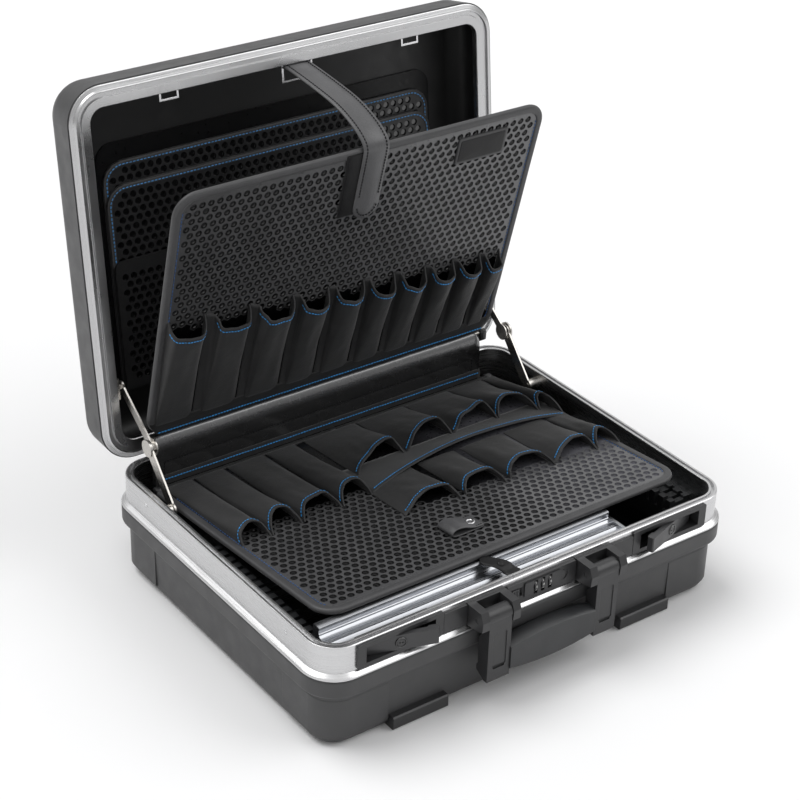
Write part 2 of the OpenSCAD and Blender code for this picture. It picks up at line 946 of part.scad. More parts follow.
// Padded spine that carries both boards
module board_spine() {
    color(black)
    difference() {
        union() {
            translate([-board_hw + 2, 0, 0])
                rotate([90, 0, 90])
                    linear_extrude(height = 2 * board_hw - 4)
                        spine_section();
            for (x = [-lug_x - lug_w / 2, 0, lug_x + lug_w / 2]) {
                spine_lug(x, rod_u);
                translate([x - lug_w / 2, rod_u[0] - sleeve_r, spine_z1 - 5])
                    cube([lug_w, 2 * sleeve_r, rod_u[1] - spine_z1 + 5]);
                spine_lug(x, rod_l);
                translate([x - lug_w / 2, rod_l[0], rod_l[1] - sleeve_r])
                    cube([lug_w, spine_y0 - rod_l[0] + 2, 2 * sleeve_r]);
            }
            for (x = [-150, 0, 150])
                translate([x - 12, spine_y1 - 1, spine_z0 + 1])
                    cube([24, in_y - spine_y1 + 1, 20]);
        }
        rod_bore(rod_u);
        rod_bore(rod_l);
    }
}

module board_rods() {
    color(silver)
    for (p = [rod_u, rod_l])
        translate([-lug_x - lug_w + 0.4, p[0], p[1]])
            rotate([0, 90, 0])
                cylinder(r = rod_r, h = 2 * (lug_x + lug_w - 0.4), $fn = 32);
}

module upper_pose() {
    translate([0, rod_u[0], rod_u[1]])
        rotate([90 + board_lean, 0, 0])
            children();
}

module lower_pose() {
    translate([0, rod_l[0], rod_l[1]])
        rotate([180 - board_tilt, 0, 0])
            mirror([0, 0, 1])
                children();
}

board_s0 = sleeve_r + 1;

// Board outline from its rod outward, pulled in by an inset
module board_outline(inset) {
    r = board_r - inset;
    x = board_hw - inset;
    y0 = board_s0 + inset;
    y1 = board_l - inset;
    translate([-x, y0])
        square([2 * x, y1 - y0 - r]);
    translate([-x + r, y0])
        square([2 * (x - r), y1 - y0]);
    for (s = [-1, 1])
        translate([s * (x - r), y1 - r])
            circle(r = r, $fn = 64);
}

// Panel with two sleeves on its rod
module board_panel() {
    difference() {
        union() {
            translate([0, 0, -panel_t / 2])
                linear_extrude(height = panel_t)
                    board_outline(1);
            for (s = [-1, 1]) {
                translate([s < 0 ? -lug_x + 0.5 : lug_w / 2 + 0.5, 0, 0])
                    rotate([0, 90, 0])
                        cylinder(r = sleeve_r, h = lug_x - lug_w / 2 - 1, $fn = 40);
                translate([s < 0 ? -lug_x + 0.5 : lug_w / 2 + 0.5, 0, -panel_t / 2])
                    cube([lug_x - lug_w / 2 - 1, board_s0 + 2, panel_t]);
            }
        }
        translate([-board_hw, 0, 0])
            rotate([0, 90, 0])
                cylinder(r = rod_r + fit, h = 2 * board_hw, $fn = 32);
    }
}

// Folded edge binding round three sides of a board
module board_binding() {
    difference() {
        translate([0, 0, -binding_t / 2])
            linear_extrude(height = binding_t)
                difference() {
                    board_outline(0);
                    translate([0, -binding_w])
                        board_outline(binding_w);
                    translate([-board_hw + binding_w, 0])
                        square([2 * (board_hw - binding_w), board_s0 + 2 * binding_w]);
                }
        translate([0, 0, -panel_t / 2])
            linear_extrude(height = panel_t)
                board_outline(1);
    }
}

module upper_board_panel() {
    color(grey_dark)
        upper_pose()
            board_panel();
}

module upper_board_binding() {
    color(grey_dark)
        upper_pose()
            board_binding();
}

module lower_board_panel() {
    color(grey_dark)
        lower_pose()
            board_panel();
}

module lower_board_binding() {
    color(grey_dark)
        lower_pose()
            board_binding();
}

// One open-ended cloth pocket on a board, from s0 toward its mouth
module pocket(x, w, h, s0, len) {
    e = h * 0.35;
    translate([x, s0 + len, panel_t / 2])
        rotate([90, 0, 0])
            linear_extrude(height = len)
                polygon([[-w / 2, 0], [-w / 2 + e, h], [w / 2 - e, h], [w / 2, 0],
                    [w / 2 - cloth_t, 0], [w / 2 - e - cloth_t * 0.7, h - cloth_t],
                    [-w / 2 + e + cloth_t * 0.7, h - cloth_t], [-w / 2 + cloth_t, 0]]);
}

// Share of its row that each pocket takes, seam to seam from the left
up_part = [42, 50.7, 50.3, 42.2, 43.1, 38.5, 38.9, 36.6, 36, 26.2];
left_part = [35, 37, 46, 36];
back_part = [66, 61, 56, 39.5, 22];
front_part = [69, 51, 55, 52, 27.5];
row_in = board_hw - binding_w - 0.5;
up_foot = 3.6 * sleeve_r;
low_foot = 3.4 * sleeve_r;

function part_sum(v, n) = n == 0 ? 0 : v[n - 1] + part_sum(v, n - 1);
function seam(v, i, x0, x1) = x0 + (x1 - x0) * part_sum(v, i) / part_sum(v, len(v));

// Pocket i of a row between x0 and x1
module row_pocket(v, i, x0, x1, h, s0, length) {
    a = seam(v, i, x0, x1);
    b = seam(v, i + 1, x0, x1);
    pocket((a + b) / 2, b - a - pocket_gap, h, s0, length);
}

module upper_pockets(i0, i1) {
    color(black)
        upper_pose()
            for (i = [i0:i1])
                row_pocket(up_part, i, -row_in, row_in - 4.5, upper_pocket_h, up_foot,
                    board_l * (0.42 - 0.0118 * i));
}

module upper_pockets_left() {
    upper_pockets(0, 3);
}

module upper_pockets_middle() {
    upper_pockets(4, 6);
}

module upper_pockets_right() {
    upper_pockets(7, 9);
}

// Bare plate on the upper board
module label_plate() {
    color(black)
        upper_pose()
            translate([board_hw - 107, board_l - 49, panel_t / 2])
                linear_extrude(height = 1.8)
                    round_rect(0, 0, 62, 30, 3);
}

// Seam between the four long pockets and the two rows beside them
row_split = 0.76 * board_hw;
band_s0 = 0.352 * board_l;
band_s1 = 0.402 * board_l;

module lower_pockets_left() {
    color(black)
        lower_pose()
            for (i = [0:3])
                row_pocket(left_part, i, -row_in, row_in - row_split * 1.574,
                    lower_pocket_h + 1, low_foot, board_l * (0.412 - 0.008 * i));
}

module lower_pockets_back() {
    color(black)
        lower_pose()
            for (i = [0:4])
                row_pocket(back_part, i, row_in - row_split * 1.51, row_in,
                    lower_pocket_h, low_foot, board_l * (0.232 + 0.015 * (i > 3 ? 2 : 0)));
}

// Front row, with the band of cloth behind it
module lower_pockets_front() {
    x0 = row_in - row_split * 1.574;
    color(black)
        lower_pose() {
            for (i = [0:4])
                row_pocket(front_part, i, x0, row_in,
                    lower_pocket_h + 2, band_s1, board_l * 0.228);
            translate([x0 + 1, band_s0, panel_t / 2])
                cube([row_in - x0 - 2, band_s1 - band_s0 - 0.4, cloth_t]);
        }
}

// Folded pull tab near the front of the lower board
module pull_tab() {
    color(black)
        lower_pose()
            difference() {
                translate([-40, 224, panel_t / 2])
                    linear_extrude(height = 3)
                        round_rect(0, 0, 34, 56, 8);
                translate([-23, 266, 0])
                    cylinder(r = 5, h = 20, $fn = 32);
            }
}

module tab_eyelet() {
    color(silver)
        lower_pose()
            translate([-23, 266, panel_t / 2])
                difference() {
                    cylinder(r = 4.9, h = 3.8, $fn = 32);
                    translate([0, 0, 0.8])
                        cylinder(r = 2.6, h = 4, $fn = 32);
                }
}

strap_end = rod_l[0] - board_l * cos(board_tilt) - 1.4;

// Short strap from the frame to the divider
module hold_down_strap() {
    color(black)
        translate([-36, 0, 0])
            rotate([90, 0, 90])
                linear_extrude(height = 15)
                    polygon([[-in_y, base_h - 4], [-in_y + 7, base_h - 2.6],
                        [-in_y + 11, base_h + 0.4], [-in_y + 16, div_top + 0.3],
                        [strap_end, div_top + 0.3], [strap_end + 0.6, div_top + 1.4],
                        [strap_end, div_top + 2.6], [-in_y + 16, div_top + 2.8],
                        [-in_y + 10, base_h + 2.2], [-in_y + 6.5, base_h - 0.6],
                        [-in_y, base_h - 1.6]]);
}

// Stay pivots at rest: on the lower frame, at the knee and on the lid
stay_a = [106, base_h - 14];
stay_m = [148, base_h + 34];
stay_n = 7;
stay_b = lid_pt(76, stay_n);
low_x = stay_x + 0.5;
up_link_x = stay_x - 0.5 - link_t;

function angle_of(p, q) = atan2(q[1] - p[1], q[0] - p[0]);
function dist_of(p, q) = norm(q - p);

// Flat link in the side plane from p to q, one face at x
module link(p, q, w, x) {
    translate([x, p[0], p[1]])
        rotate([90, 0, 90])
            rotate([0, 0, angle_of(p, q)])
                linear_extrude(height = link_t)
                    difference() {
                        union() {
                            translate([0, -w / 2])
                                square([dist_of(p, q), w]);
                            circle(r = w / 2 + 1.5, $fn = 40);
                            translate([dist_of(p, q), 0])
                                circle(r = w / 2 + 1.5, $fn = 40);
                        }
                        children();
                    }
}

// Lower link with the outer half of the knee rivet
module lower_link_body() {
    link(stay_a, stay_m, link_w + 3, low_x)
        circle(r = stay_pin_r + fit, $fn = 40);
    translate([low_x + link_t, stay_m[0], stay_m[1]])
        rotate([0, 90, 0])
            cylinder(r = disc_r, h = link_t - 0.2, $fn = 48);
}

// Upper link with the inner half of the knee rivet
module upper_link_body() {
    link(stay_b, stay_m, link_w, up_link_x)
        circle(r = stay_pin_r + fit, $fn = 40);
    translate([up_link_x - link_t + 0.4, stay_m[0], stay_m[1]])
        rotate([0, 90, 0])
            cylinder(r = disc_r, h = link_t - 0.4, $fn = 48);
}

module stay_lower_links() {
    color(silver)
    for (s = [0, 1])
        mirror([s, 0, 0])
            lower_link_body();
}

module stay_upper_links() {
    color(silver)
    for (s = [0, 1])
        mirror([s, 0, 0])
            upper_link_body();
}

// Bosses and rivets on the lower frame
module stay_studs_base() {
    color(silver)
    for (s = [0, 1])
        mirror([s, 0, 0])
            translate([0, stay_a[0], stay_a[1]])
                rotate([0, 90, 0]) {
                    translate([0, 0, low_x - 0.2])
                        cylinder(r = stay_pin_r, h = link_t + 1, $fn = 40);
                    translate([0, 0, low_x + link_t + 0.2])
                        cylinder(r = 6, h = in_x - low_x - link_t - 0.2, $fn = 40);
                    translate([0, 0, low_x - 0.6])
                        cylinder(r = stay_pin_r + 1.6, h = 0.45, $fn = 40);
                }
}

// Plates and rivets on the lid frame
module stay_studs_lid() {
    plate_t = lid_in_x - low_x - link_t - 0.6;
    color(silver)
    for (s = [0, 1])
        mirror([s, 0, 0]) {
            translate([0, stay_b[0], stay_b[1]])
                rotate([0, 90, 0]) {
                    translate([0, 0, up_link_x - 0.2])
                        cylinder(r = stay_pin_r, h = lid_in_x - up_link_x - 0.4, $fn = 40);
                    translate([0, 0, up_link_x - 0.8])
                        cylinder(r = stay_pin_r + 1.6, h = 0.65, $fn = 40);
                }
            translate([lid_in_x - plate_t, stay_b[0], stay_b[1]])
                rotate([-lid_open, 0, 0])
                    translate([0, -11, -stay_n + 1.5])
                        cube([plate_t, 22, stay_n + 6]);
        }
}

lid_rim = lid_h - lid_face;

// Turns a tray section upside down onto the closed lid frame
module lid_up() {
    translate([0, 0, lid_z + lid_h])
        mirror([0, 0, 1])
            children();
}

lid_low = lid_out - lid_draft;
lid_depth = lid_edge_r - lid_low + 4;

module lid_shell() {
    flat_w = case_w + 2 * (lid_low - lid_edge_r) - 4;
    flat_d = case_d + 2 * (lid_low - lid_edge_r) - 4;
    color(grey_dark)
    lid_pose()
        lid_up() {
            difference() {
                ring(case_w, case_d, corner_r)
                    tray_fill(lid_rim, lid_out, lid_low, lid_edge_r, lid_depth);
                ring(case_w, case_d, corner_r)
                    tray_space(lid_rim, lid_out, lid_low, lid_edge_r, lid_depth);
            }
            linear_extrude(height = wall)
                outline(flat_w, flat_d, corner_r + lid_low - lid_edge_r - 2);
            ring(case_w, case_d, corner_r)
                translate([-4.8, lid_rim - lid_rim_t])
                    square([lid_out + 4, lid_rim_t]);
        }
}

// Reach of the flared outer edge of the lid frame
flare = lid_out - 1.2;

// Section of the lid frame: flared outer lip, seal groove, broad inner face, inner leg
module lid_frame_section() {
    polygon([[0, 0.6], [-0.6, 0], [-1.4, 0], [-1.9, 2.2], [-5.8, 2.2], [-6.4, 0],
        [-lid_frame_t + 0.6, 0], [-lid_frame_t, 0.8], [-lid_frame_t, 6],
        [-lid_frame_t + 1.6, 6], [-lid_frame_t + 1.6, lid_face - 0.4],
        [-8.4, lid_face - 0.4], [-8.4, lid_face + 11], [-5.3, lid_face + 11],
        [-5.3, lid_face], [flare, lid_face], [flare, lid_face - 0.9],
        [flare - 0.7, lid_face - 1.4], [0.9, lid_face - 2.6]]);
}

module lid_frame() {
    color(silver)
        lid_pose()
            difference() {
                translate([0, 0, lid_z])
                    ring(case_w, case_d, corner_r)
                        lid_frame_section();
                translate([hinge_x0 - 0.5, half_d, lid_z - 1])
                    cube([knuckles * knuckle_len + 1, lid_out + 2, lid_face + 2]);
            }
}

strike_x = latch_x - 20;
anchor_drop = 17;
anchor_t = 2;

// Staple outline of inner width w and reach d, of wire width t
module staple(w, d, t) {
    difference() {
        translate([-w / 2 - t, 0])
            square([w + 2 * t, d]);
        translate([-w / 2, -1])
            square([w, d - t + 1]);
    }
}

// Staples that the latches catch
module latch_strikes() {
    color(silver)
        lid_pose()
            for (s = [-1, 1])
                translate([s * strike_x, -lid_in_y, lid_z + 0.6])
                    linear_extrude(height = 2)
                        staple(17, 7.5, 2);
}

strap_x = 4;
strap_w = 30;
strap_t = 2.4;

// Staple that holds the leather strap
module strap_anchor() {
    color(silver)
        lid_pose()
            translate([strap_x, -lid_in_y, lid_z + 0.6])
                linear_extrude(height = 1.8)
                    staple(strap_w + 1.6, anchor_drop, anchor_t);
}

back_z = lid_z + lid_h - wall;
organizer_hw = 194;
sheet_t = 2.6;

// Place on the lid lining: u from the hinge, n above the mating plane
module lining(u0, u1, n0, n1, hw, r) {
    lid_pose()
        translate([0, 0, lid_z + n0])
            linear_extrude(height = n1 - n0)
                round_rect(-hw, hinge_y - u1, hw, hinge_y - u0, r);
}

lining_n = lid_h - wall;

module lid_backing_board() {
    color(black)
        lining(48, 306, lining_n - 2, lining_n, organizer_hw + 4, 18);
}

module document_pocket_rear() {
    color(black)
        lining(52, 287, lining_n - 2.4 - sheet_t, lining_n - 2.4, organizer_hw, 22);
}

module document_pocket_front() {
    color(black)
        lining(52, 264, lining_n - 3 - 2 * sheet_t, lining_n - 2.8 - sheet_t, organizer_hw, 22);
}

module document_pocket_lower() {
    color(black)
        lining(52, 188, lining_n - 3.6 - 3 * sheet_t, lining_n - 3.4 - 2 * sheet_t, organizer_hw, 10);
}

// Point in the side plane on the open lid, u from the hinge, n behind the mating plane
function lid_pt(u, n) = [hinge_y - u * cos(lid_open) + n * sin(lid_open),
    hinge_z + u * sin(lid_open) + n * cos(lid_open)];
// Point in the side plane on the upper board, s from its rod, t before its middle
function board_pt(s, t) = [rod_u[0] - s * sin(board_lean) - t * cos(board_lean),
    rod_u[1] + s * cos(board_lean) - t * sin(board_lean)];

strap_u = hinge_y + lid_in_y - anchor_drop + anchor_t + 0.3 + strap_t / 2;
strap_off = binding_t / 2 + 0.3 + strap_t / 2;

// Middle line of the strap from the lid over the board to its free end
strap_line = [lid_pt(strap_u, 14), lid_pt(strap_u, 0),
    board_pt(board_l + 4, -90), board_pt(board_l + 7, -50),
    board_pt(board_l + 7, -18), board_pt(board_l + 4.8, -2),
    board_pt(board_l + 1, strap_off), board_pt(board_l - 8, strap_off),
    board_pt(board_l - 83, strap_off)];

// Unit normal of the middle line at point i
function strap_normal(i) = let (n = len(strap_line) - 1,
        d = strap_line[min(i + 1, n)] - strap_line[max(i - 1, 0)])
    [d[1], -d[0]] / norm(d);

// Leather strap between lid and upper board
module carry_strap() {
    n = len(strap_line) - 1;
    color(grey_dark)
        translate([strap_x - strap_w / 2, 0, 0])
            rotate([90, 0, 90])
                linear_extrude(height = strap_w)
                    polygon(concat(
                        [for (i = [0:n]) strap_line[i] + strap_normal(i) * strap_t / 2],
                        [for (i = [n:-1:0]) strap_line[i] - strap_normal(i) * strap_t / 2]));
}

base_shell();
base_frame();
frame_rivets();
front_feet();
hinge_base_leaf();
hinge_pin();
latch_bezel_left();
latch_bezel_right();
handle_bracket_left();
handle_bracket_right();
handle_pins();
lock_housing();
dial_axle();
filler_plates();
side_rail_left();
side_rail_right();
front_divider();
side_partition();
cross_dividers();
board_spine();
board_rods();
hold_down_strap();
stay_studs_base();
lid_shell();
lid_frame();
hinge_lid_leaf();
latch_strikes();
strap_anchor();
lid_backing_board();
document_pocket_rear();
document_pocket_front();
document_pocket_lower();
stay_studs_lid();
carry_strap();
upper_board_panel();
upper_board_binding();
upper_pockets_left();
upper_pockets_middle();
upper_pockets_right();
label_plate();
lower_board_panel();
lower_board_binding();
lower_pockets_left();
lower_pockets_back();
lower_pockets_front();
pull_tab();
tab_eyelet();
handle_arm_left();
handle_arm_right();
handle_grip();
latch_lever_left();
latch_lever_right();
lock_cylinder_left();
lock_cylinder_right();
dial_left();
dial_middle();
dial_right();
lock_slide();
stay_lower_links();
stay_upper_links();
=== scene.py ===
import math
import random

import bpy
from mathutils import Matrix, Vector, noise


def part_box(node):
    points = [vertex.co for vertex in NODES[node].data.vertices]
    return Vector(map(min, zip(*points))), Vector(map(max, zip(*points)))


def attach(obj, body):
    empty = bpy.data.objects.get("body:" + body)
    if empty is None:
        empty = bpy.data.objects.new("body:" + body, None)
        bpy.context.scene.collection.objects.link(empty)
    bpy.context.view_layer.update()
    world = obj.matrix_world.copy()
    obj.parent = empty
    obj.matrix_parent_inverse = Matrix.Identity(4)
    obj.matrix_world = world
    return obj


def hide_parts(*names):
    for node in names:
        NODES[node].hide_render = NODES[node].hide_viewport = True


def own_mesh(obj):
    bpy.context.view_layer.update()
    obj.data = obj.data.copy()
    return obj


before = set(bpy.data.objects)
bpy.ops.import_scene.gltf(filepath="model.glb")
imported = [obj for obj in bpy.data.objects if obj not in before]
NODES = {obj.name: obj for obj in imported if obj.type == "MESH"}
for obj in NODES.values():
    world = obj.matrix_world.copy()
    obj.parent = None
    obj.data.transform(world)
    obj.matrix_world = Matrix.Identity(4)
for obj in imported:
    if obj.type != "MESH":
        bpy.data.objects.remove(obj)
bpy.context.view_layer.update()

MM = 0.001


# ---------------------------------------------------------------- frames of the part, in mm
LEAN = math.radians(14.2)
TILT = math.radians(5.470525744758169)
OPEN = math.radians(96.3 - 90)


def upper(x, s, t):
    """Point of the upper board: x across, s up from its rod, t out of its front face."""
    return Vector((x, 171 - math.sin(LEAN) * s - math.cos(LEAN) * t,
                   138 + math.cos(LEAN) * s - math.sin(LEAN) * t))


def lower(x, s, t):
    """Point of the lower board: x across, s forward from its rod, t up from its face."""
    return Vector((x, 155 - math.cos(TILT) * s + math.sin(TILT) * t,
                   88 + math.sin(TILT) * s + math.cos(TILT) * t))


def lid(x, u, n):
    """Point of the open lid: x across, u up from the hinge line, n behind the mating plane."""
    return Vector((x, 189 + math.sin(OPEN) * u + math.cos(OPEN) * n,
                   112.4 + math.cos(OPEN) * u - math.sin(OPEN) * n))


def outward(place):
    """Direction out of a surface, where the third coordinate is the height above it."""
    return place(0, 0, 1) - place(0, 0, 0)


def ripple(x, y, z):
    """Smooth noise from -1 to 1."""
    return noise.noise(Vector((x, y, z)))


# ---------------------------------------------------------------- materials
class Mat:
    """A principled material whose colour, roughness and relief come from procedural textures."""

    def __init__(self, name, color, rough, metal=0.0, sheen=0.0, coat=0.0, spec=0.5):
        self.mat = bpy.data.materials.new(name)
        self.mat.use_nodes = True
        self.mat.diffuse_color = (*color, 1)
        self.tree = self.mat.node_tree
        self.bsdf = self.tree.nodes["Principled BSDF"]
        self.put(self.bsdf, {"Base Color": (*color, 1), "Roughness": rough, "Metallic": metal,
                             "Specular IOR Level": spec})
        if sheen:
            self.put(self.bsdf, {"Sheen Weight": sheen, "Sheen Roughness": 0.4})
        if coat:
            self.put(self.bsdf, {"Coat Weight": coat, "Coat Roughness": 0.2})
        self.color = color
        self.coord = self.new("TexCoord").outputs["Object"]
        self.normal = None

    def put(self, node, inputs):
        """Gives inputs of a node a plain value, or links them to another node's output."""
        for key, value in inputs.items():
            if isinstance(value, bpy.types.NodeSocket):
                self.tree.links.new(value, node.inputs[key])
            else:
                node.inputs[key].default_value = value

    def new(self, kind, inputs=None, **settings):
        node = self.tree.nodes.new("ShaderNode" + kind)
        for key, value in settings.items():
            setattr(node, key, value)
        self.put(node, inputs or {})
        return node

    def space(self, scale=(1, 1, 1), turn=(0, 0, 0)):
        """Coordinates turned first and then stretched."""
        turned = self.new("Mapping", {"Vector": self.coord, "Rotation": turn})
        node = self.new("Mapping", {"Vector": turned.outputs["Vector"], "Scale": scale})
        return node.outputs["Vector"]

    def noise(self, scale, detail=3.0, rough=0.5, vector=None):
        return self.new("TexNoise", {"Vector": vector or self.coord, "Scale": scale, "Detail": detail,
                                     "Roughness": rough}).outputs["Fac"]

    def voronoi(self, scale):
        return self.new("TexVoronoi", {"Vector": self.coord, "Scale": scale}).outputs["Distance"]

    def wave(self, scale, axis):
        node = self.new("TexWave", {"Vector": self.coord, "Scale": scale}, bands_direction=axis)
        return node.outputs["Fac"]

    def span(self, value, low, high, start=0.3, end=0.7):
        """Maps a value from start..end to low..high."""
        node = self.new("MapRange", {"From Min": start, "From Max": end, "To Min": low, "To Max": high,
                                     "Value": value})
        return node.outputs["Result"]

    def color_output(self, node):
        return [s for s in node.outputs if s.type == "RGBA"][0]

    def tint(self, value, spread, start=0.3, end=0.7):
        """Varies the base colour by a share either way."""
        socket = self.bsdf.inputs["Base Color"]
        before = socket.links[0].from_socket if socket.is_linked else None
        base = (1, 1, 1) if before else self.color
        low, high = ((*[c * share for c in base], 1) for share in (1 - spread, 1 + spread))
        factor = self.span(value, 0, 1, start, end)
        result = self.color_output(self.new("Mix", {"A": low, "B": high, "Factor": factor},
                                            data_type="RGBA"))
        if before:
            result = self.color_output(self.new("Mix", {"A": before, "B": result, "Factor": 1},
                                                data_type="RGBA", blend_type="MULTIPLY"))
        self.put(self.bsdf, {"Base Color": result})
        return self

    def shine(self, value, low, high, start=0.3, end=0.7):
        self.put(self.bsdf, {"Roughness": self.span(value, low, high, start, end)})
        return self

    def bend(self, node):
        """Takes the node's normal for the surface."""
        self.normal = node.outputs["Normal"]
        self.put(self.bsdf, {"Normal": self.normal})
        return self

    def relief(self, height, depth, strength=1.0):
        """Adds a bump of the given depth in metres."""
        node = self.new("Bump", {"Distance": depth, "Strength": strength, "Height": height})
        if self.normal:
            self.put(node, {"Normal": self.normal})
        return self.bend(node)

    def soften(self, radius):
        """Rounds hard edges in the shading by a radius in metres."""
        return self.bend(self.new("Bevel", {"Radius": radius}, samples=4))

    def scaled(self, factor):
        """Multiplies the base colour by a factor socket."""
        before = self.bsdf.inputs["Base Color"].links[0].from_socket
        node = self.new("VectorMath", {0: before, "Scale": factor}, operation="SCALE")
        self.put(self.bsdf, {"Base Color": node.outputs["Vector"]})
        return self

    def graded(self, low, high, start=-0.2, end=0.2, axis="X"):
        """Painted light and shade: colour that goes from a low to a high share along an axis of the
        object.
        """
        split = self.new("SeparateXYZ", {"Vector": self.coord})
        return self.scaled(self.span(split.outputs[axis], low, high, start, end))

    def hollow(self, centre, share):
        """Paints shade on a hollow form: darkens the faces that look toward its centre."""
        normal = self.new("TexCoord").outputs["Normal"]
        way = self.new("VectorMath", {0: centre, 1: self.coord}, operation="SUBTRACT")
        facing = self.new("VectorMath", {0: normal, 1: way.outputs["Vector"]}, operation="DOT_PRODUCT")
        return self.scaled(self.span(facing.outputs["Value"], 1.0, share, 0.0, 0.002))


def grained(name, color, rough, grain=1100, depth=0.00006, edge=0.0006, spread=0.10, **more):
    m = Mat(name, color, rough, **more)
    m.soften(edge)
    m.tint(m.noise(28, 5, 0.6), spread)
    m.tint(m.noise(grain, 2), spread * 0.8)
    m.shine(m.noise(60, 4), rough - 0.06, rough + 0.07)
    m.relief(m.noise(grain, 2), depth)
    return m


def brushed(name, color, rough, scale, turn=(0, 0, 0), depth=0.00003, spread=0.05, edge=0.0005):
    m = Mat(name, color, rough, metal=1.0)
    m.soften(edge)
    streaks = m.noise(1.0, 4, 0.6, m.space(scale, turn))
    m.tint(streaks, spread)
    m.shine(streaks, rough - 0.05, rough + 0.08)
    m.relief(streaks, depth, 0.6)
    return m


shell_plastic = grained("moulded shell plastic", (0.052, 0.052, 0.0535), 0.46, spread=0.05)
lid_plastic_inner_shade = grained("moulded lid plastic", (0.052, 0.052, 0.0535), 0.46, spread=0.05)
# the lid's inner faces are painted down to 30 per cent: painted shade inside the lid
lid_plastic_inner_shade.hollow([sum(c[i] for c in NODES["lid_shell"].bound_box) / 8 for i in range(3)], 0.30)
frame_base = brushed("satin frame of the base", (0.60, 0.60, 0.605), 0.27, (14, 14, 1500),
                     depth=0.000012)
# the same satin aluminium as the base's frame, painted darker: painted shade on the lid's frame
frame_lid = brushed("satin frame of the lid", (0.52, 0.52, 0.525), 0.27, (14, 1500, 14), (OPEN, 0, 0),
                    depth=0.000012)
dark_plastic = grained("dark satin plastic", (0.026, 0.026, 0.0275), 0.36, 1500, 0.00003)
lever_metal = grained("painted lever metal", (0.036, 0.036, 0.038), 0.34, 1700, 0.00003)
grip_rubber = grained("grip rubber", (0.026, 0.027, 0.029), 0.40, 1300, 0.00004, spread=0.08)
rail_plastic = grained("rail plastic", (0.030, 0.031, 0.033), 0.38, 1200, 0.00004)
bright_metal = brushed("bright metal", (0.66, 0.66, 0.67), 0.18, (700, 700, 700), depth=0.00001)
stay_metal = brushed("plated stay metal", (0.52, 0.50, 0.47), 0.28, (60, 900, 900), depth=0.00001)
divider_metal = brushed("ribbed divider metal", (0.40, 0.41, 0.43), 0.26, (10, 1500, 1500),
                        depth=0.00001)
ink = grained("dial ink", (0.80, 0.80, 0.78), 0.5, 1500, 0.00001, edge=0.0001)


def board_material(name, color, rough, spec=0.5):
    m = Mat(name, color, rough, spec=spec)
    m.tint(m.noise(40, 5), 0.14)
    m.tint(m.noise(1500, 2), 0.10)
    m.shine(m.noise(220, 3), rough * 0.8, rough * 1.2)
    m.relief(m.noise(1700, 2), 0.00004 if rough > 0.2 else 0.000006)
    return m


net_face_painted_light = board_material("embossed sheet web", (0.064, 0.064, 0.066), 0.32, 0.6)
# colour painted from 0.60 at the left to 1.75 at the right: painted shade toward the left and painted
# sheen toward the right
net_face_painted_light.graded(0.60, 1.75)
lower_face_painted_light = board_material("embossed lower sheet web", (0.064, 0.064, 0.066), 0.30, 0.6)
# colour painted lighter toward the right: painted sheen
lower_face_painted_light.graded(1.10, 1.6)
# near-black dimples are painted shade; toward the right they are painted up to 42 times brighter as
# painted highlight
lower_bowl_shade_and_glint = board_material("embossed lower sheet dimple", (0.0030, 0.0030, 0.0034), 0.30, 0.35)
lower_bowl_shade_and_glint.graded(1.0, 42.0, 0.03, 0.21)
# the near-black of the dimples is painted shade in them
net_bowl = board_material("embossed sheet dimple", (0.0030, 0.0030, 0.0034), 0.11, 0.9)
# the boards' web painted about three times darker for the lid's pockets: painted shade
net_painted_shade = board_material("shaded sheet web", (0.020, 0.020, 0.021), 0.42)
lid_lining = board_material("lid lining sheet", (0.006, 0.006, 0.0065), 0.34, 0.25)

binding = Mat("coated edge binding", (0.046, 0.046, 0.048), 0.50, sheen=0.12)
binding.tint(binding.noise(70, 5), 0.12)
binding.tint(binding.noise(1300, 3), 0.14)
binding.relief(binding.voronoi(1300), 0.00006)


def cloth_material(name, color, rough, sheen):
    m = Mat(name, color, rough, sheen=sheen, spec=0.35)
    warp = m.wave(420, "X")
    weft = m.wave(420, "DIAGONAL")
    weave = m.new("Math", {0: warp, 1: weft}, operation="MULTIPLY").outputs[0]
    m.tint(m.noise(35, 5, 0.6), 0.16)
    m.tint(weave, 0.16, 0.1, 0.9)
    m.tint(m.noise(900, 2), 0.12)
    m.relief(m.noise(90, 4, 0.6), 0.0009, 0.5)
    m.relief(weave, 0.00010)
    return m


pocket_cloth = cloth_material("dense pocket cloth", (0.0235, 0.0235, 0.0240), 0.60, 0.20)
hem_cloth = cloth_material("folded hem tape", (0.020, 0.020, 0.021), 0.55, 0.22)
foot_cloth = cloth_material("textured foot band", (0.013, 0.013, 0.0135), 0.6, 0.15)
flap_cloth = cloth_material("smooth flap cloth", (0.050, 0.051, 0.052), 0.50, 0.25)


def thread_material(name, color, rough, grain=300, spread=0.35, twist=0.00012, **more):
    m = Mat(name, color, rough, **more)
    m.tint(m.noise(grain, 3), spread)
    m.relief(m.wave(1500, "DIAGONAL"), twist)
    return m


thread = thread_material("blue stitching thread", (0.028, 0.34, 0.82), 0.45, sheen=0.2)
pale_thread = thread_material("pale blue thread", (0.10, 0.42, 0.90), 0.45, spread=0.3, sheen=0.3)
edge_thread = thread_material("worn blue thread", (0.020, 0.10, 0.30), 0.5, sheen=0.2)
dark_thread = thread_material("dark stitching thread", (0.007, 0.007, 0.008), 0.6, 400, 0.3, 0.0001,
                              spec=0.2)


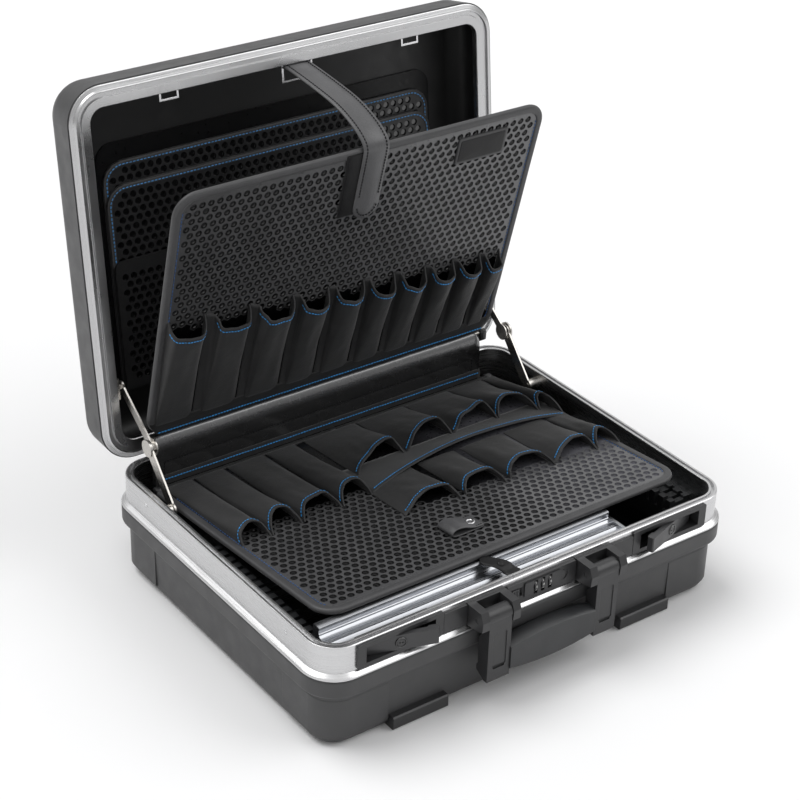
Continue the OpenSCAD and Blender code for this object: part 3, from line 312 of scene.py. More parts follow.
def leather(name, color, rough, pores=700, coat=0.0, spec=0.5):
    m = Mat(name, color, rough, coat=coat, spec=spec)
    m.tint(m.noise(30, 5, 0.6), 0.12)
    cells = m.voronoi(pores)
    m.tint(cells, 0.12, 0.1, 0.6)
    m.shine(m.noise(120, 4), rough - 0.05, rough + 0.08)
    m.relief(m.noise(60, 3), 0.0003, 0.4)
    m.relief(cells, 0.00007)
    return m


strap_leather = leather("smooth strap leather", (0.072, 0.072, 0.075), 0.36)
black_leather = leather("black leather", (0.008, 0.008, 0.0085), 0.36, spec=0.22)
spine_leather_painted_crest = leather("glossy padded spine", (0.010, 0.010, 0.0105), 0.22, 500, coat=1.0, spec=1.0)
# a pale band painted along the crest, from z 130 to 142 mm: painted highlight
spine_leather_painted_crest.graded(1.0, 8.0, 0.130, 0.142, "Z")


# ---------------------------------------------------------------- mesh helpers
def new_object(name, verts, faces, mats, body, stands_for=(), smooth=50, indices=None,
               scale=MM):
    """Mesh object from points in mm, which rides on a body and may stand for CAD nodes."""
    mesh = bpy.data.meshes.new(name)
    mesh.from_pydata([tuple(Vector(v) * scale) for v in verts], [], faces)
    for m in mats:
        mesh.materials.append(m.mat)
    if indices:
        mesh.polygons.foreach_set("material_index", indices)
    mesh.validate()
    mesh.polygons.foreach_set("use_smooth", [True] * len(mesh.polygons))
    if smooth < 180:
        mesh.set_sharp_from_angle(angle=math.radians(smooth))
    mesh.update()
    obj = bpy.data.objects.new(name, mesh)
    bpy.context.scene.collection.objects.link(obj)
    if body:
        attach(obj, body)
    if stands_for:
        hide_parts(*stands_for)
    return obj


def modifier(obj, kind, **settings):
    mod = obj.modifiers.new(kind.lower(), kind)
    for key, value in settings.items():
        setattr(mod, key, value)
    return mod


def grid_faces(columns, rows, start=0, wrap=False):
    """Quads of a grid of rows x columns points; wrap joins the last column to the first."""
    faces = []
    for r in range(rows - 1):
        for c in range(columns if wrap else columns - 1):
            d = (c + 1) % columns
            faces.append((start + r * columns + c, start + r * columns + d,
                          start + (r + 1) * columns + d, start + (r + 1) * columns + c))
    return faces


def flipped(faces):
    return [face[:1] + face[:0:-1] for face in faces]


def tube_faces(columns, rows, start=0):
    """Faces of a tube of rows rings, closed at both ends."""
    ends = [tuple(start + k for k in range(columns - 1, -1, -1)),
            tuple(start + (rows - 1) * columns + k for k in range(columns))]
    return grid_faces(columns, rows, start, wrap=True) + ends


def arc(cx, cy, r, start, steps):
    """Points of a quarter circle from start degrees on."""
    angles = [math.radians(start + 90 * k / steps) for k in range(steps + 1)]
    return [(cx + r * math.cos(a), cy + r * math.sin(a)) for a in angles]


def surface_frames(points, side=None):
    """Point, side and upward direction along a path; the side lies near X if it isn't given."""
    out = []
    for i, p in enumerate(points):
        along = (points[min(i + 1, len(points) - 1)] - points[max(i - 1, 0)]).normalized()
        across = (Vector((1, 0, 0)) - along * along.x).normalized() if side is None else side
        out.append((p, across, across.cross(along).normalized()))
    return out


def run_lengths(points):
    """Length of a path up to each of its points."""
    lengths = [0.0]
    for a, b in zip(points, points[1:]):
        lengths.append(lengths[-1] + (b - a).length)
    return lengths


def catmull(points, count):
    """Evenly stepped points along a smooth curve through the given ones."""
    pts = [Vector(p) for p in points]
    ext = [pts[0] * 2 - pts[1]] + pts + [pts[-1] * 2 - pts[-2]]
    dense = []
    for i in range(1, len(ext) - 2):
        p0, p1, p2, p3 = ext[i - 1:i + 3]
        for k in range(16):
            f = k / 16
            dense.append(0.5 * ((2 * p1) + (p2 - p0) * f + (2 * p0 - 5 * p1 + 4 * p2 - p3) * f * f
                                + (3 * p1 - p0 - 3 * p2 + p3) * f ** 3))
    dense.append(pts[-1])
    return resample(dense, count)


def resample(points, count):
    lengths = run_lengths(points)
    out, j = [], 0
    for i in range(count):
        want = lengths[-1] * i / (count - 1)
        while j < len(lengths) - 2 and lengths[j + 1] < want:
            j += 1
        step = lengths[j + 1] - lengths[j]
        out.append(points[j].lerp(points[j + 1], (want - lengths[j]) / step if step else 0))
    return out


STITCH_RINGS = ((-0.5, 0.25), (-0.3, 1.0), (0.3, 1.0), (0.5, 0.25))  # place along it, and thickness


def stitches(name, lines, body, mat=None, pitch=3.2, length=2.7, width=1.25):
    """Dashes of thread along lines of (point, outward normal) pairs, in mm."""
    verts, faces = [], []
    for line in lines:
        pts = [p for p, _ in line]
        count = max(2, int(run_lengths(pts)[-1] / pitch))
        spots = resample(pts, count * 2 + 1)
        for i in range(count):
            mid = spots[2 * i + 1]
            along = (spots[2 * i + 2] - spots[2 * i]).normalized()
            near = min(line, key=lambda q: (q[0] - mid).length_squared)
            out = near[1].normalized()
            side = along.cross(out).normalized()
            start = len(verts)
            for k, r in STITCH_RINGS:
                for a in range(6):
                    ang = a * math.pi / 3
                    verts.append(mid + along * (k * length) + side * (math.cos(ang) * r * width / 2)
                                 + out * (math.sin(ang) * r * width * 0.42 + 0.12))
            faces += tube_faces(6, 4, start)
    return new_object(name, verts, faces, [mat or thread], body, smooth=80)


def rounded_outline(hw, s0, s1, r, r0=0.0, steps=8):
    """Closed outline, anticlockwise from the lower left, with top corners r and foot corners r0."""
    pts = []
    for cx, cs, rad, a0 in ((hw - r0, s0 + r0, r0, -90), (hw - r, s1 - r, r, 0),
                            (-hw + r, s1 - r, r, 90), (-hw + r0, s0 + r0, r0, 180)):
        pts += arc(cx, cs, rad, a0, steps) if rad > 0 else [(cx, cs)]
    return pts


def clamp_inside(x, s, hw, s0, s1, r, r0):
    x, s = max(-hw, min(hw, x)), max(s0, min(s1, s))
    for rad, cs, up in ((r, s1 - r, 1), (r0, s0 + r0, -1)):
        dx, ds = abs(x) - (hw - rad), (s - cs) * up
        if rad > 0 and dx > 0 and ds > 0:
            d = math.hypot(dx, ds)
            if d > rad:
                x = math.copysign(hw - rad + dx * rad / d, x)
                s = cs + up * ds * rad / d
    return x, s


PITCH, HOLE = 9.4, 3.55  # spacing and radius of the dimples
SIDES = 12  # of a dimple, two for each side of its cell


def dimpled(name, place, hw, s0, s1, r, top, body, slot, r0=0.0, margin=7.0, depth=1.7,
            back=None, stands_for=(), mats=None, rings=((1.0, 0.0), (0.93, 0.55), (0.78, 1.0)),
            pocket_shade_test=None):
    """Sheet embossed with a hexagonal lattice of round dimples, with flat margins. back gives it a
    flat rear face and a rim. top is the face's height, and dimples go down by depth (or up, below 0).
    Cells that the given test picks stay flat and take the near-black dimple material as painted shade."""
    verts, faces, index, shared = [], [], [], {}
    sink = depth if back is None or back < top else -depth

    def corner(x, s):
        cx, cs = clamp_inside(x, s, hw, s0, s1, r, r0)
        key = (round(cx, 2), round(cs, 2))
        if key not in shared:
            shared[key] = len(verts)
            verts.append(place(cx, cs, top))
        return shared[key]

    row = PITCH * math.sqrt(3) / 2
    side = PITCH / math.sqrt(3)
    rows = range(int((s0 - 10) / row), int((s1 + 10) / row) + 1)
    cols = range(int(-hw / PITCH) - 1, int(hw / PITCH) + 2)
    for j in rows:
        for i in cols:
            cx, cs = (i + 0.5 * (j % 2)) * PITCH, j * row
            ex, es = clamp_inside(cx, cs, hw, s0, s1, r, r0)
            if math.hypot(ex - cx, es - cs) > side * 0.9:
                continue
            turns = [math.radians(30 + 60 * k) for k in range(6)]
            cell = [(cx + side * math.cos(a), cs + side * math.sin(a)) for a in turns]
            loop = []
            for a, b in zip(cell, cell[1:] + cell[:1]):
                loop += [corner(*a), corner((a[0] + b[0]) / 2, (a[1] + b[1]) / 2)]
            mx, ms = clamp_inside(cx, cs, hw - margin, s0 + margin, s1 - margin,
                                  max(r - margin, 0.1), max(r0 - margin, 0.0))
            # cells under pockets stay flat and take the near-black dimple material: painted shade
            pocket_shade = bool(pocket_shade_test and pocket_shade_test(cx, cs))
            if pocket_shade or math.hypot(mx - cx, ms - cs) > 0.01:
                clean = [v for k, v in enumerate(loop) if v != loop[k - 1]]
                if len(set(clean)) > 2 and len(set(clean)) == len(clean):
                    faces.append(tuple(clean))
                    index.append(int(pocket_shade))
                continue
            start = len(verts)
            for scale, drop in rings:
                for k in range(SIDES):
                    a = math.radians(30 + 360 / SIDES * k)
                    verts.append(place(cx + HOLE * scale * math.cos(a), cs + HOLE * scale * math.sin(a),
                                       top - sink * drop))
            verts.append(place(cx, cs, top - sink * 1.04))
            last = len(verts) - 1
            for k in range(SIDES):
                n = (k + 1) % SIDES
                faces.append((loop[k], loop[n], start + n, start + k))
                for b in range(start, last - SIDES, SIDES):
                    faces.append((b + k, b + n, b + SIDES + n, b + SIDES + k))
                faces.append((last - SIDES + k, last - SIDES + n, last))
                index += [0] + [1] * len(rings)
    if back is not None:
        outline = rounded_outline(hw, s0, s1, r, r0)
        count = len(outline)
        start = len(verts)
        for h in (top, back):
            verts += [place(x, s, h) for x, s in outline]
        faces += flipped(grid_faces(count, 2, start, wrap=True))
        faces.append(tuple(range(start + count, start + 2 * count)))
        index += [0] * (count + 1)
    return new_object(name, verts, faces, mats or [net_face_painted_light, net_bowl], body, stands_for,
                      smooth=50, indices=index)


def sweep(name, path, section, mats, body, stands_for=(), smooth=60):
    """Sweeps a closed section along frames. path is a list of (point, side, up), section of (a, b)."""
    verts = [p + side * a + up * b for p, side, up in path for a, b in section]
    return new_object(name, verts, tube_faces(len(section), len(path)), mats, body, stands_for,
                      smooth=smooth)


def rounded_section(w, h, r, steps=4):
    """Closed section of a rounded bar, w along a and h along b, centred."""
    x, y = w / 2 - r, h / 2 - r
    return [p for cx, cy, a0 in ((x, y, 0), (-x, y, 90), (-x, -y, 180), (x, -y, 270))
            for p in arc(cx, cy, r, a0, steps)]


def pill(x0, y0, x1, y1, r, steps=6):
    """Closed outline of a rectangle with round corners."""
    corners = ((x1 - r, y0 + r, -90), (x1 - r, y1 - r, 0), (x0 + r, y1 - r, 90), (x0 + r, y0 + r, 180))
    return [p for cx, cy, a0 in corners for p in arc(cx, cy, r, a0, steps)]


# ---------------------------------------------------------------- camera, light and floor
SOFT_LIGHT = 0.48  # strength of the white world on matt surfaces
DIM_SKY = 0.34  # its share in reflections from near the horizon
SUNS = (("key", (-0.30, 0.42, 1.0), 1.6, 40), ("fill", (0.75, -0.45, 0.8), 0.80, 45))
PHOTO_PX = 800  # side of the photograph, for which the focal length was solved


def stage_and_camera():
    """Pale floor, white studio and a camera at the photograph's viewing angle."""
    az, el, roll = (math.radians(v) for v in (-36.9, 30.1, 1.8))
    target, dist, focal_px = Vector((33.4, 83.7, 150)), 2083.1, 2061.5
    back = Vector((math.sin(az) * math.cos(el), -math.cos(az) * math.cos(el), math.sin(el)))
    right = Vector((0, 0, 1)).cross(back).normalized()
    up = back.cross(right)
    x_axis = right * math.cos(roll) + up * math.sin(roll)
    y_axis = up * math.cos(roll) - right * math.sin(roll)
    data = bpy.data.cameras.new("camera")
    data.sensor_fit, data.sensor_width, data.lens = "HORIZONTAL", 36, focal_px * 36 / PHOTO_PX
    data.clip_start, data.clip_end = 0.05, 60
    cam = bpy.data.objects.new("camera", data)
    place = Matrix((x_axis, y_axis, back)).transposed().to_4x4()
    place.translation = (target + back * dist) * MM
    cam.matrix_world = place
    bpy.context.scene.collection.objects.link(cam)
    bpy.context.scene.camera = cam

    floor_mat = Mat("pale floor", (0.945, 0.945, 0.95), 0.7)
    floor_mat.tint(floor_mat.noise(3, 2), 0.004)
    size, verts = 9.0, []
    for y in (-size, size):
        verts += [(-size, y, 0), (size, y, 0)]
    floor = new_object("floor", verts, [(0, 1, 3, 2)], [floor_mat], None, scale=1)

    world = bpy.data.worlds.new("studio")
    bpy.context.scene.world = world
    world.use_nodes = True
    tree = world.node_tree
    shade = tree.nodes["Background"]
    shade.inputs["Color"].default_value = (1, 1, 1, 1)
    way, split, glow, path, gloss, final, seen, any_seen, level = (
        tree.nodes.new("ShaderNode" + kind) for kind in
        ("TexCoord", "SeparateXYZ", "MapRange", "LightPath", "Mix", "Math", "Math", "Math", "MapRange"))
    for key, value in (("From Min", -0.1), ("From Max", 0.75), ("To Min", DIM_SKY), ("To Max", 1.0)):
        glow.inputs[key].default_value = value
    gloss.inputs["A"].default_value = 1.0
    final.operation, seen.operation, any_seen.operation = "MULTIPLY", "MAXIMUM", "MAXIMUM"
    level.inputs["To Min"].default_value = SOFT_LIGHT
    level.inputs["To Max"].default_value = 1.0
    for out, key, node, socket in (
            (path, "Is Camera Ray", seen, 0), (path, "Is Glossy Ray", seen, 1), (seen, 0, any_seen, 0),
            (path, "Is Transmission Ray", any_seen, 1), (any_seen, 0, level, "Value"),
            (way, "Generated", split, "Vector"), (split, "Z", glow, "Value"),
            (path, "Is Glossy Ray", gloss, "Factor"), (glow, "Result", gloss, "B"),
            (level, "Result", final, 0), (gloss, "Result", final, 1), (final, 0, shade, "Strength")):
        tree.links.new(out.outputs[key], node.inputs[socket])

    for name, direction, strength, angle in SUNS:
        sun = bpy.data.lights.new(name, "SUN")
        sun.energy, sun.angle = strength, math.radians(angle)
        obj = bpy.data.objects.new(name, sun)
        obj.rotation_euler = Vector(direction).to_track_quat("Z", "Y").to_euler()
        bpy.context.scene.collection.objects.link(obj)
    bpy.context.scene.view_settings.view_transform = "Standard"


stage_and_camera()


# ---------------------------------------------------------------- materials of the CAD nodes
FINISH = (
    (shell_plastic, "base_shell"),
    (lid_plastic_inner_shade, "lid_shell"),
    (lid_lining, "lid_backing_board"),
    (frame_base, "base_frame hinge_base_leaf"),
    (frame_lid, "lid_frame hinge_lid_leaf"),
    (bright_metal, "frame_rivets hinge_pin dial_axle latch_strikes strap_anchor tab_eyelet"),
    (stay_metal, "board_rods stay_studs_base stay_studs_lid stay_lower_links stay_upper_links"),
    (divider_metal, "front_divider side_partition cross_dividers"),
    (dark_plastic, "front_feet latch_bezel_left latch_bezel_right handle_bracket_left handle_pins "
                   "handle_bracket_right lock_housing filler_plates handle_arm_left handle_arm_right "
                   "dial_left dial_middle dial_right"),
    (rail_plastic, "side_rail_left side_rail_right"),
    (grip_rubber, "handle_grip"),
    (lever_metal, "latch_lever_left latch_lever_right lock_cylinder_left lock_cylinder_right "
                  "lock_slide"),
    (net_face_painted_light, "document_pocket_rear document_pocket_front document_pocket_lower upper_board_panel"),
    (lower_face_painted_light, "lower_board_panel"),
    (binding, "upper_board_binding lower_board_binding"),
    (pocket_cloth, "upper_pockets_left upper_pockets_middle upper_pockets_right "
                   "lower_pockets_left lower_pockets_back lower_pockets_front"),
    (black_leather, "hold_down_strap label_plate pull_tab"),
    (spine_leather_painted_crest, "board_spine"),
    (strap_leather, "carry_strap"),
)
for finish, names in FINISH:
    for node in names.split():
        slots = NODES[node].data.materials
        slots.clear()
        slots.append(finish.mat)


# ---------------------------------------------------------------- tool boards
BOARD_HW, BOARD_L, BOARD_R, BOARD_S0 = 213.0, 301.0, 24.0, 4.6  # half width, top, corners, foot
FOOT_R = 26.0  # foot corners of the upper board
FACE_T, REAR_T = 2.1, -1.9  # heights of the two sheets over the board's middle
EDGE_R, LIP = 3.0, 8.2  # rounding of the edge's tape, and its reach over the faces
SHEET_INSET, SHEET_MARGIN = 1.5, 10.5  # sheet from the edge, and the flat strip round its dimples


def board_edge(r0, steps=10):
    """Open path round three sides of a board, with the inward direction at each point."""
    hw, top, r, low = BOARD_HW, BOARD_L, BOARD_R, BOARD_S0 + 1 + r0

    def turn(cx, cs, rad, first, last, count):
        angles = [math.radians(first + (last - first) * k / steps) for k in range(count)]
        return [(cx + rad * math.cos(a), cs + rad * math.sin(a), -math.cos(a), -math.sin(a))
                for a in angles]

    foot = turn(-hw + r0, low, r0, 262, 180, steps if r0 else 0)
    pts = foot + [(-hw, low + (top - r - low) * k / 12, 1, 0) for k in range(12)]
    pts += turn(-hw + r, top - r, r, 180, 90, steps + 1)
    pts += [(-hw + r + 2 * (hw - r) * k / 16, top, 0, -1) for k in range(1, 16)]
    pts += turn(hw - r, top - r, r, 90, 0, steps + 1)
    pts += [(hw, low + (top - r - low) * (11 - k) / 12, -1, 0) for k in range(12)]
    return pts + [(-x, s, -ix, js) for x, s, ix, js in reversed(foot)]


def board_binding(name, place, body, node, r0=0.0):
    """Coated tape folded over the edge: a rounded outer side and two thin lips on the faces."""
    turns = [math.radians(90 + 180 * k / 12) for k in range(13)]
    lip = [(LIP, 2.2), (7.9, 2.75), (5.5, EDGE_R)]
    section = lip + [(EDGE_R + EDGE_R * math.cos(a), EDGE_R * math.sin(a)) for a in turns]
    section += [(a, -b) for a, b in reversed(lip)]
    verts, n = [], len(section)
    edge = board_edge(r0)
    for x, s, ix, js in edge:
        wob = ripple(x * 0.03, s * 0.03, 5.0) * 0.25
        verts += [place(x + ix * (a + wob), s + js * (a + wob), b) for a, b in section]
    new_object(name, verts, tube_faces(n, len(edge)), [binding], body, (node,),
               smooth=60)
    out = outward(place)
    sides = [[(place(x + ix * (LIP + 1), s + js * (LIP + 1), 2.3), out) for x, s, ix, js in part]
             for part in ((edge[2:25], edge[-25:-2]) if r0 else (edge[1:17], edge[-17:-1]))]
    stitches(name + "_stitches", sides, body, edge_thread, pitch=4.0, length=2.9, width=1.0)


def board_sleeves(name, place, body, node, reach):
    """Two cloth sleeves that hold the board on its rod."""
    verts, faces = [], []
    for x0, x1 in ((-reach, -4.5), (4.5, reach)):
        start, count, rows = len(verts), 20, 34
        for i in range(rows):
            x = x0 + (x1 - x0) * i / (rows - 1)
            puff = 0.18 * ripple(x * 0.12, 3.1, 0)
            for k in range(count):
                a = 2 * math.pi * k / count
                r = 3.35 + puff
                verts.append(place(x, r * math.cos(a), r * math.sin(a)))
        faces += tube_faces(count, rows, start)
    new_object(name, verts, faces, [foot_cloth], body, (node,), smooth=60)


def board(prefix, place, body, r0, pocket_shade, face, bowl):
    """A board's two embossed sheets, sleeves and binding; the sheet is left flat and painted near-black
    as shade where the given test says pockets hide it.
    """
    node = prefix + "_panel"
    size = (BOARD_HW - SHEET_INSET, BOARD_S0, BOARD_L - SHEET_INSET, BOARD_R - SHEET_INSET)
    both = dict(r0=r0, margin=SHEET_MARGIN, mats=[face, bowl])
    dimpled(prefix + "_sheet", place, *size, FACE_T, body, "board_lining", depth=1.9,
            stands_for=(node,), pocket_shade_test=pocket_shade, **both)
    dimpled(prefix + "_rear_sheet", place, *size, REAR_T, body, "board_lining", depth=-1.2,
            rings=((1.0, 0.0), (0.6, 1.0)), **both)
    board_sleeves(prefix + "_sleeves", place, body, node, 202.5 - 0.7 * r0)
    board_binding(prefix + "_edge", place, body, prefix + "_binding", r0)


def upper_mouth(x):
    """Height of the upper pockets' mouths, which falls to the right."""
    return 154 - 0.0875 * (x + 205)


# the sheet is painted near-black as shade where these say pockets hide it
def under_upper(x, s):
    return s < upper_mouth(x) - 13


def under_lower(x, s):
    return s < (128 if x < -48 else 188 + 0.05 * x)


board("upper_board", upper, "upper_board", FOOT_R, under_upper, net_face_painted_light, net_bowl)
board("lower_board", lower, "lower_board", 0.0, under_lower, lower_face_painted_light, lower_bowl_shade_and_glint)


# ---------------------------------------------------------------- sewn pockets
SHAPES = {
    "box": [(0, 0, 1.0), (0.09, 0.05, 0.97), (0.17, 0.12, 0.86), (0.205, 0.46, 0.50),
            (0.245, 0.80, 0.17), (0.34, 0.99, 0.0), (0.56, 1.06, -0.14), (0.77, 0.99, -0.02),
            (0.88, 0.80, 0.15), (0.945, 0.42, 0.56), (1.0, 0, 1.0)],
    "edge": [(0, 0, 1.0), (0.0, 0.30, 0.72), (0.0, 0.60, 0.42), (0.03, 0.85, 0.14), (0.14, 0.99, 0.0),
             (0.45, 1.06, -0.14), (0.76, 0.99, -0.02), (0.87, 0.80, 0.15), (0.94, 0.42, 0.56),
             (1.0, 0, 1.0)],
    "arc": [(0, 0, 1.0), (0.13, 0.32, 0.72), (0.34, 0.70, 0.30), (0.62, 0.95, -0.04),
            (0.90, 1.02, 0.0), (0.975, 0.52, 0.48), (1.0, 0, 1.0)],
    "tube": [(0, 0, 1.0), (0.06, 0.52, 0.60), (0.24, 0.92, 0.16), (0.52, 1.08, -0.06),
             (0.80, 0.94, 0.10), (0.94, 0.50, 0.55), (1.0, 0, 1.0)],
}


ACROSS, ALONG = 37, 15  # points of a pocket's cloth across and along it
SEAM_T, FOOT_T = 2.3, 0.7  # height of the cloth at its seams, and its rise at the foot
HEM, HEM_SECTION = 2.9, 5  # width of the hem tape, and the points of its section


def pocket_grid(xl, xr, sl, sr, drop, h, foot, shape, seed):
    """Grid of one pocket, rows from the foot to the mouth; each row runs from the left seam."""
    rnd = random.Random(seed)
    jitter = [rnd.uniform(-1, 1) for _ in range(12)]
    ctrl = []
    for i, (a, t, k) in enumerate(SHAPES[shape]):
        inner = 0 < i < len(SHAPES[shape]) - 1
        ctrl.append(Vector((a + (0.014 * jitter[i] if inner else 0), t * (1 + 0.05 * jitter[11 - i]),
                            k + (0.10 * jitter[(i * 5) % 12] if inner else 0))))
    section = catmull(ctrl, ACROSS)
    grid = []
    for r in range(ALONG):
        b = r / (ALONG - 1)
        rise = FOOT_T / h + (1 - FOOT_T / h) * b
        line = []
        for c, q in enumerate(section):
            x = xl + (xr - xl) * min(max(q.x, 0), 1)
            mouth = sl + (sr - sl) * q.x - drop * (1 - q.z)
            s = foot + (mouth - foot) * b
            t = SEAM_T + max(q.y, 0) * h * rise
            soft = math.sin(math.pi * (c / (ACROSS - 1))) * min(1, b * 3)
            fold = ripple(x * 0.045 + seed * 3.1, s * 0.020, seed)
            t += soft * (1.6 * fold + 0.8 * ripple(x * 0.13, s * 0.05, seed + 9)) * (0.35 + b)
            x += soft * 0.8 * ripple(s * 0.04, seed * 7.7, x * 0.02)
            line.append((x, s, t))
        grid.append(line)
    return grid


def pocket_row(name, place, body, pockets, nodes):
    """One strip of cloth sewn down between pockets, its hems, and the stitching round each mouth."""
    verts, faces, hems, hem_faces, lines = [], [], [], [], []
    out = outward(place)
    for k, p in enumerate(pockets):
        grid = pocket_grid(seed=k + len(name), **p)
        faces += grid_faces(ACROSS, ALONG, len(verts))
        pts = [[place(*q) for q in line] for line in grid]
        for line in pts:
            verts += line
        edge, below = pts[-1], pts[-2]
        start = len(hems)
        seam_line = []
        for c in range(ACROSS):
            along = (edge[min(c + 1, ACROSS - 1)] - edge[max(c - 1, 0)]).normalized()
            down = (below[c] - edge[c]).normalized()
            face = along.cross(down).normalized()
            nrm = -face if face.dot(out) < 0 and 4 < c < ACROSS - 5 else face
            ref = (edge[c] - place((p["xl"] + p["xr"]) / 2, grid[-1][c][1], 2)).normalized()
            if nrm.dot(ref) < 0:
                nrm = -nrm
            top, foot = edge[c] - down * 0.5, edge[c] + down * HEM
            hems += [foot + nrm * 1.05, top + nrm * 0.95, top - down * 0.35, top - nrm * 0.75,
                     foot - nrm * 0.85]
            seam_line.append((edge[c] + down * (HEM + 1.0) + nrm * 0.75, nrm))
        tube = tube_faces(HEM_SECTION, ACROSS, start)
        hem_faces += flipped(tube[:-2]) + tube[-2:]
        least = SEAM_T + p["h"] * (0.34 if p["shape"] in ("box", "edge") else 0.10)
        lines.append([q for q, cell in zip(seam_line, grid[-1]) if cell[2] > least])
    cloth = new_object(name, verts, faces, [pocket_cloth], body, nodes, smooth=180)
    modifier(cloth, "SOLIDIFY", thickness=0.0009, offset=0.0)
    modifier(cloth, "SUBSURF", levels=1, render_levels=1)
    hem = new_object(name + "_hems", hems, hem_faces, [hem_cloth], body, smooth=70)
    seam = stitches(name + "_stitches", lines, body)


# seams measured along each row: left and right seam, heights of the mouth at both, and the drop
upper_seams = [-205.5, -163.5, -112.8, -62.5, -20.3, 22.8, 61.3, 100.2, 136.8, 172.8, 199.0]
upper_row = []
for i, (a, b) in enumerate(zip(upper_seams, upper_seams[1:])):
    x0, x1 = a + 0.8, b - 0.8
    upper_row.append(dict(xl=x0, xr=x1, sl=upper_mouth(x0), sr=upper_mouth(x1), drop=11.0, h=16.0,
                          foot=19.0, shape="box" if i else "edge"))
pocket_row("upper_pockets", upper, "upper_board", upper_row,
           ("upper_pockets_left", "upper_pockets_middle", "upper_pockets_right"))

left_seams = ((-203, -171.5), (-168.5, -135), (-131, -87.5), (-84, -50))
left_row = [dict(xl=x0, xr=x1, sl=151 - 2.4 * i, sr=150 - 2.4 * i, drop=15.0, h=14.0, foot=3.0,
                 shape="tube")
            for i, (x0, x1) in enumerate(left_seams)]
back_seams = [(-40, 104), (27, 94), (90, 90), (149, 91), (194.5, 104), (211.5, 122)]
back_row = [dict(xl=x0 + 0.8, xr=x1 - 0.8, sl=s0, sr=s1, drop=18.0, h=15.0, foot=3.0,
                 shape="arc" if i < 3 else "tube")
            for i, ((x0, s0), (x1, s1)) in enumerate(zip(back_seams, back_seams[1:]))]
front_seams = ((-50, 13), (22, 68), (76, 129), (132, 183), (186, 211))
front_row = [dict(xl=x0, xr=x1, sl=198 + 2 * i, sr=204 + 1.5 * i, drop=15.0, h=12.0, foot=118.0,
                  shape="arc" if i in (0, 3) else "tube")
             for i, (x0, x1) in enumerate(front_seams)]
for name, row, flat in (("left", left_row, (0.215, 0.145)), ("back", back_row, (0.33, 0.10)),
                        ("front", front_row, (0.31, 0.085))):
    node = "lower_pockets_" + name
    pocket_row(node + "_row", lower, "lower_board", row, (node,))


# ---------------------------------------------------------------- small cloth and leather forms
def ribbon(name, points, width, thick, mats, body, stands_for=(), tip=0, edge=0.45):
    """Flat strap with crowned faces along the points of its middle. tip rounds its far end, in mm."""
    verts = []
    lengths = run_lengths(points)
    for (p, side, up), run in zip(surface_frames(points), lengths):
        half, left = width / 2, lengths[-1] - run
        if left < tip:
            half = min(half, width / 2 * math.sqrt(max(1 - ((tip - left) / tip) ** 2, 0.02)))
        section = [(-half, 0), (-half + edge, thick * 0.36), (-half + 2 * edge, thick * 0.5),
                   (-half * 0.5, thick * 0.56), (0, thick * 0.58), (half * 0.5, thick * 0.56),
                   (half - 2 * edge, thick * 0.5), (half - edge, thick * 0.36), (half, 0),
                   (half - edge, -thick * 0.36), (half - 2 * edge, -thick * 0.5), (0, -thick * 0.5),
                   (-half + 2 * edge, -thick * 0.5), (-half + edge, -thick * 0.36)]
        verts += [p + side * a + up * b for a, b in section]
    return new_object(name, verts, tube_faces(14, len(points)), mats, body, stands_for, smooth=60)


def slab(name, place, outline, low, high, mats, body, stands_for=(), bevel=1.0, crown=0.0):
    """Flat piece of a closed outline with bevelled upper edges and a slight crown."""
    n = len(outline)
    mx, my = sum(p[0] for p in outline) / n, sum(p[1] for p in outline) / n

    def ring(inset, h):
        pts = []
        for i, (x, y) in enumerate(outline):
            ax, ay = outline[i - 1]
            bx, by = outline[(i + 1) % n]
            dx, dy = bx - ax, by - ay
            d = math.hypot(dx, dy) or 1
            pts.append(place(x - dy / d * inset, y + dx / d * inset, h))
        return pts
    rings = [ring(0, low), ring(0, high - bevel), ring(bevel * 0.3, high - bevel * 0.3),
             ring(bevel, high), ring(bevel * 2.5, high + crown * 0.4)]
    verts = [v for r in rings for v in r]
    faces = grid_faces(n, len(rings), 0, wrap=True)
    verts.append(place(mx, my, high + crown))
    top = (len(rings) - 1) * n
    faces += [(top + k, top + (k + 1) % n, len(verts) - 1) for k in range(n)]
    faces.append(tuple(range(n - 1, -1, -1)))
    return new_object(name, verts, faces, mats, body, stands_for, smooth=40)


# ---------------------------------------------------------------- document pockets in the lid
DOCS = (("document_pocket_rear", "document_rear", 194, 52, 287, 22, 48.0, 50.6),
        ("document_pocket_front", "document_front", 194, 52, 264, 22, 44.8, 47.6),
        ("document_pocket_lower", "document_lower", 194, 52, 188, 10, 41.6, 44.4))
DOC_STITCHED = 130  # length of the stitching down each side
DOC_INSET = 3.6  # stitching from the edge


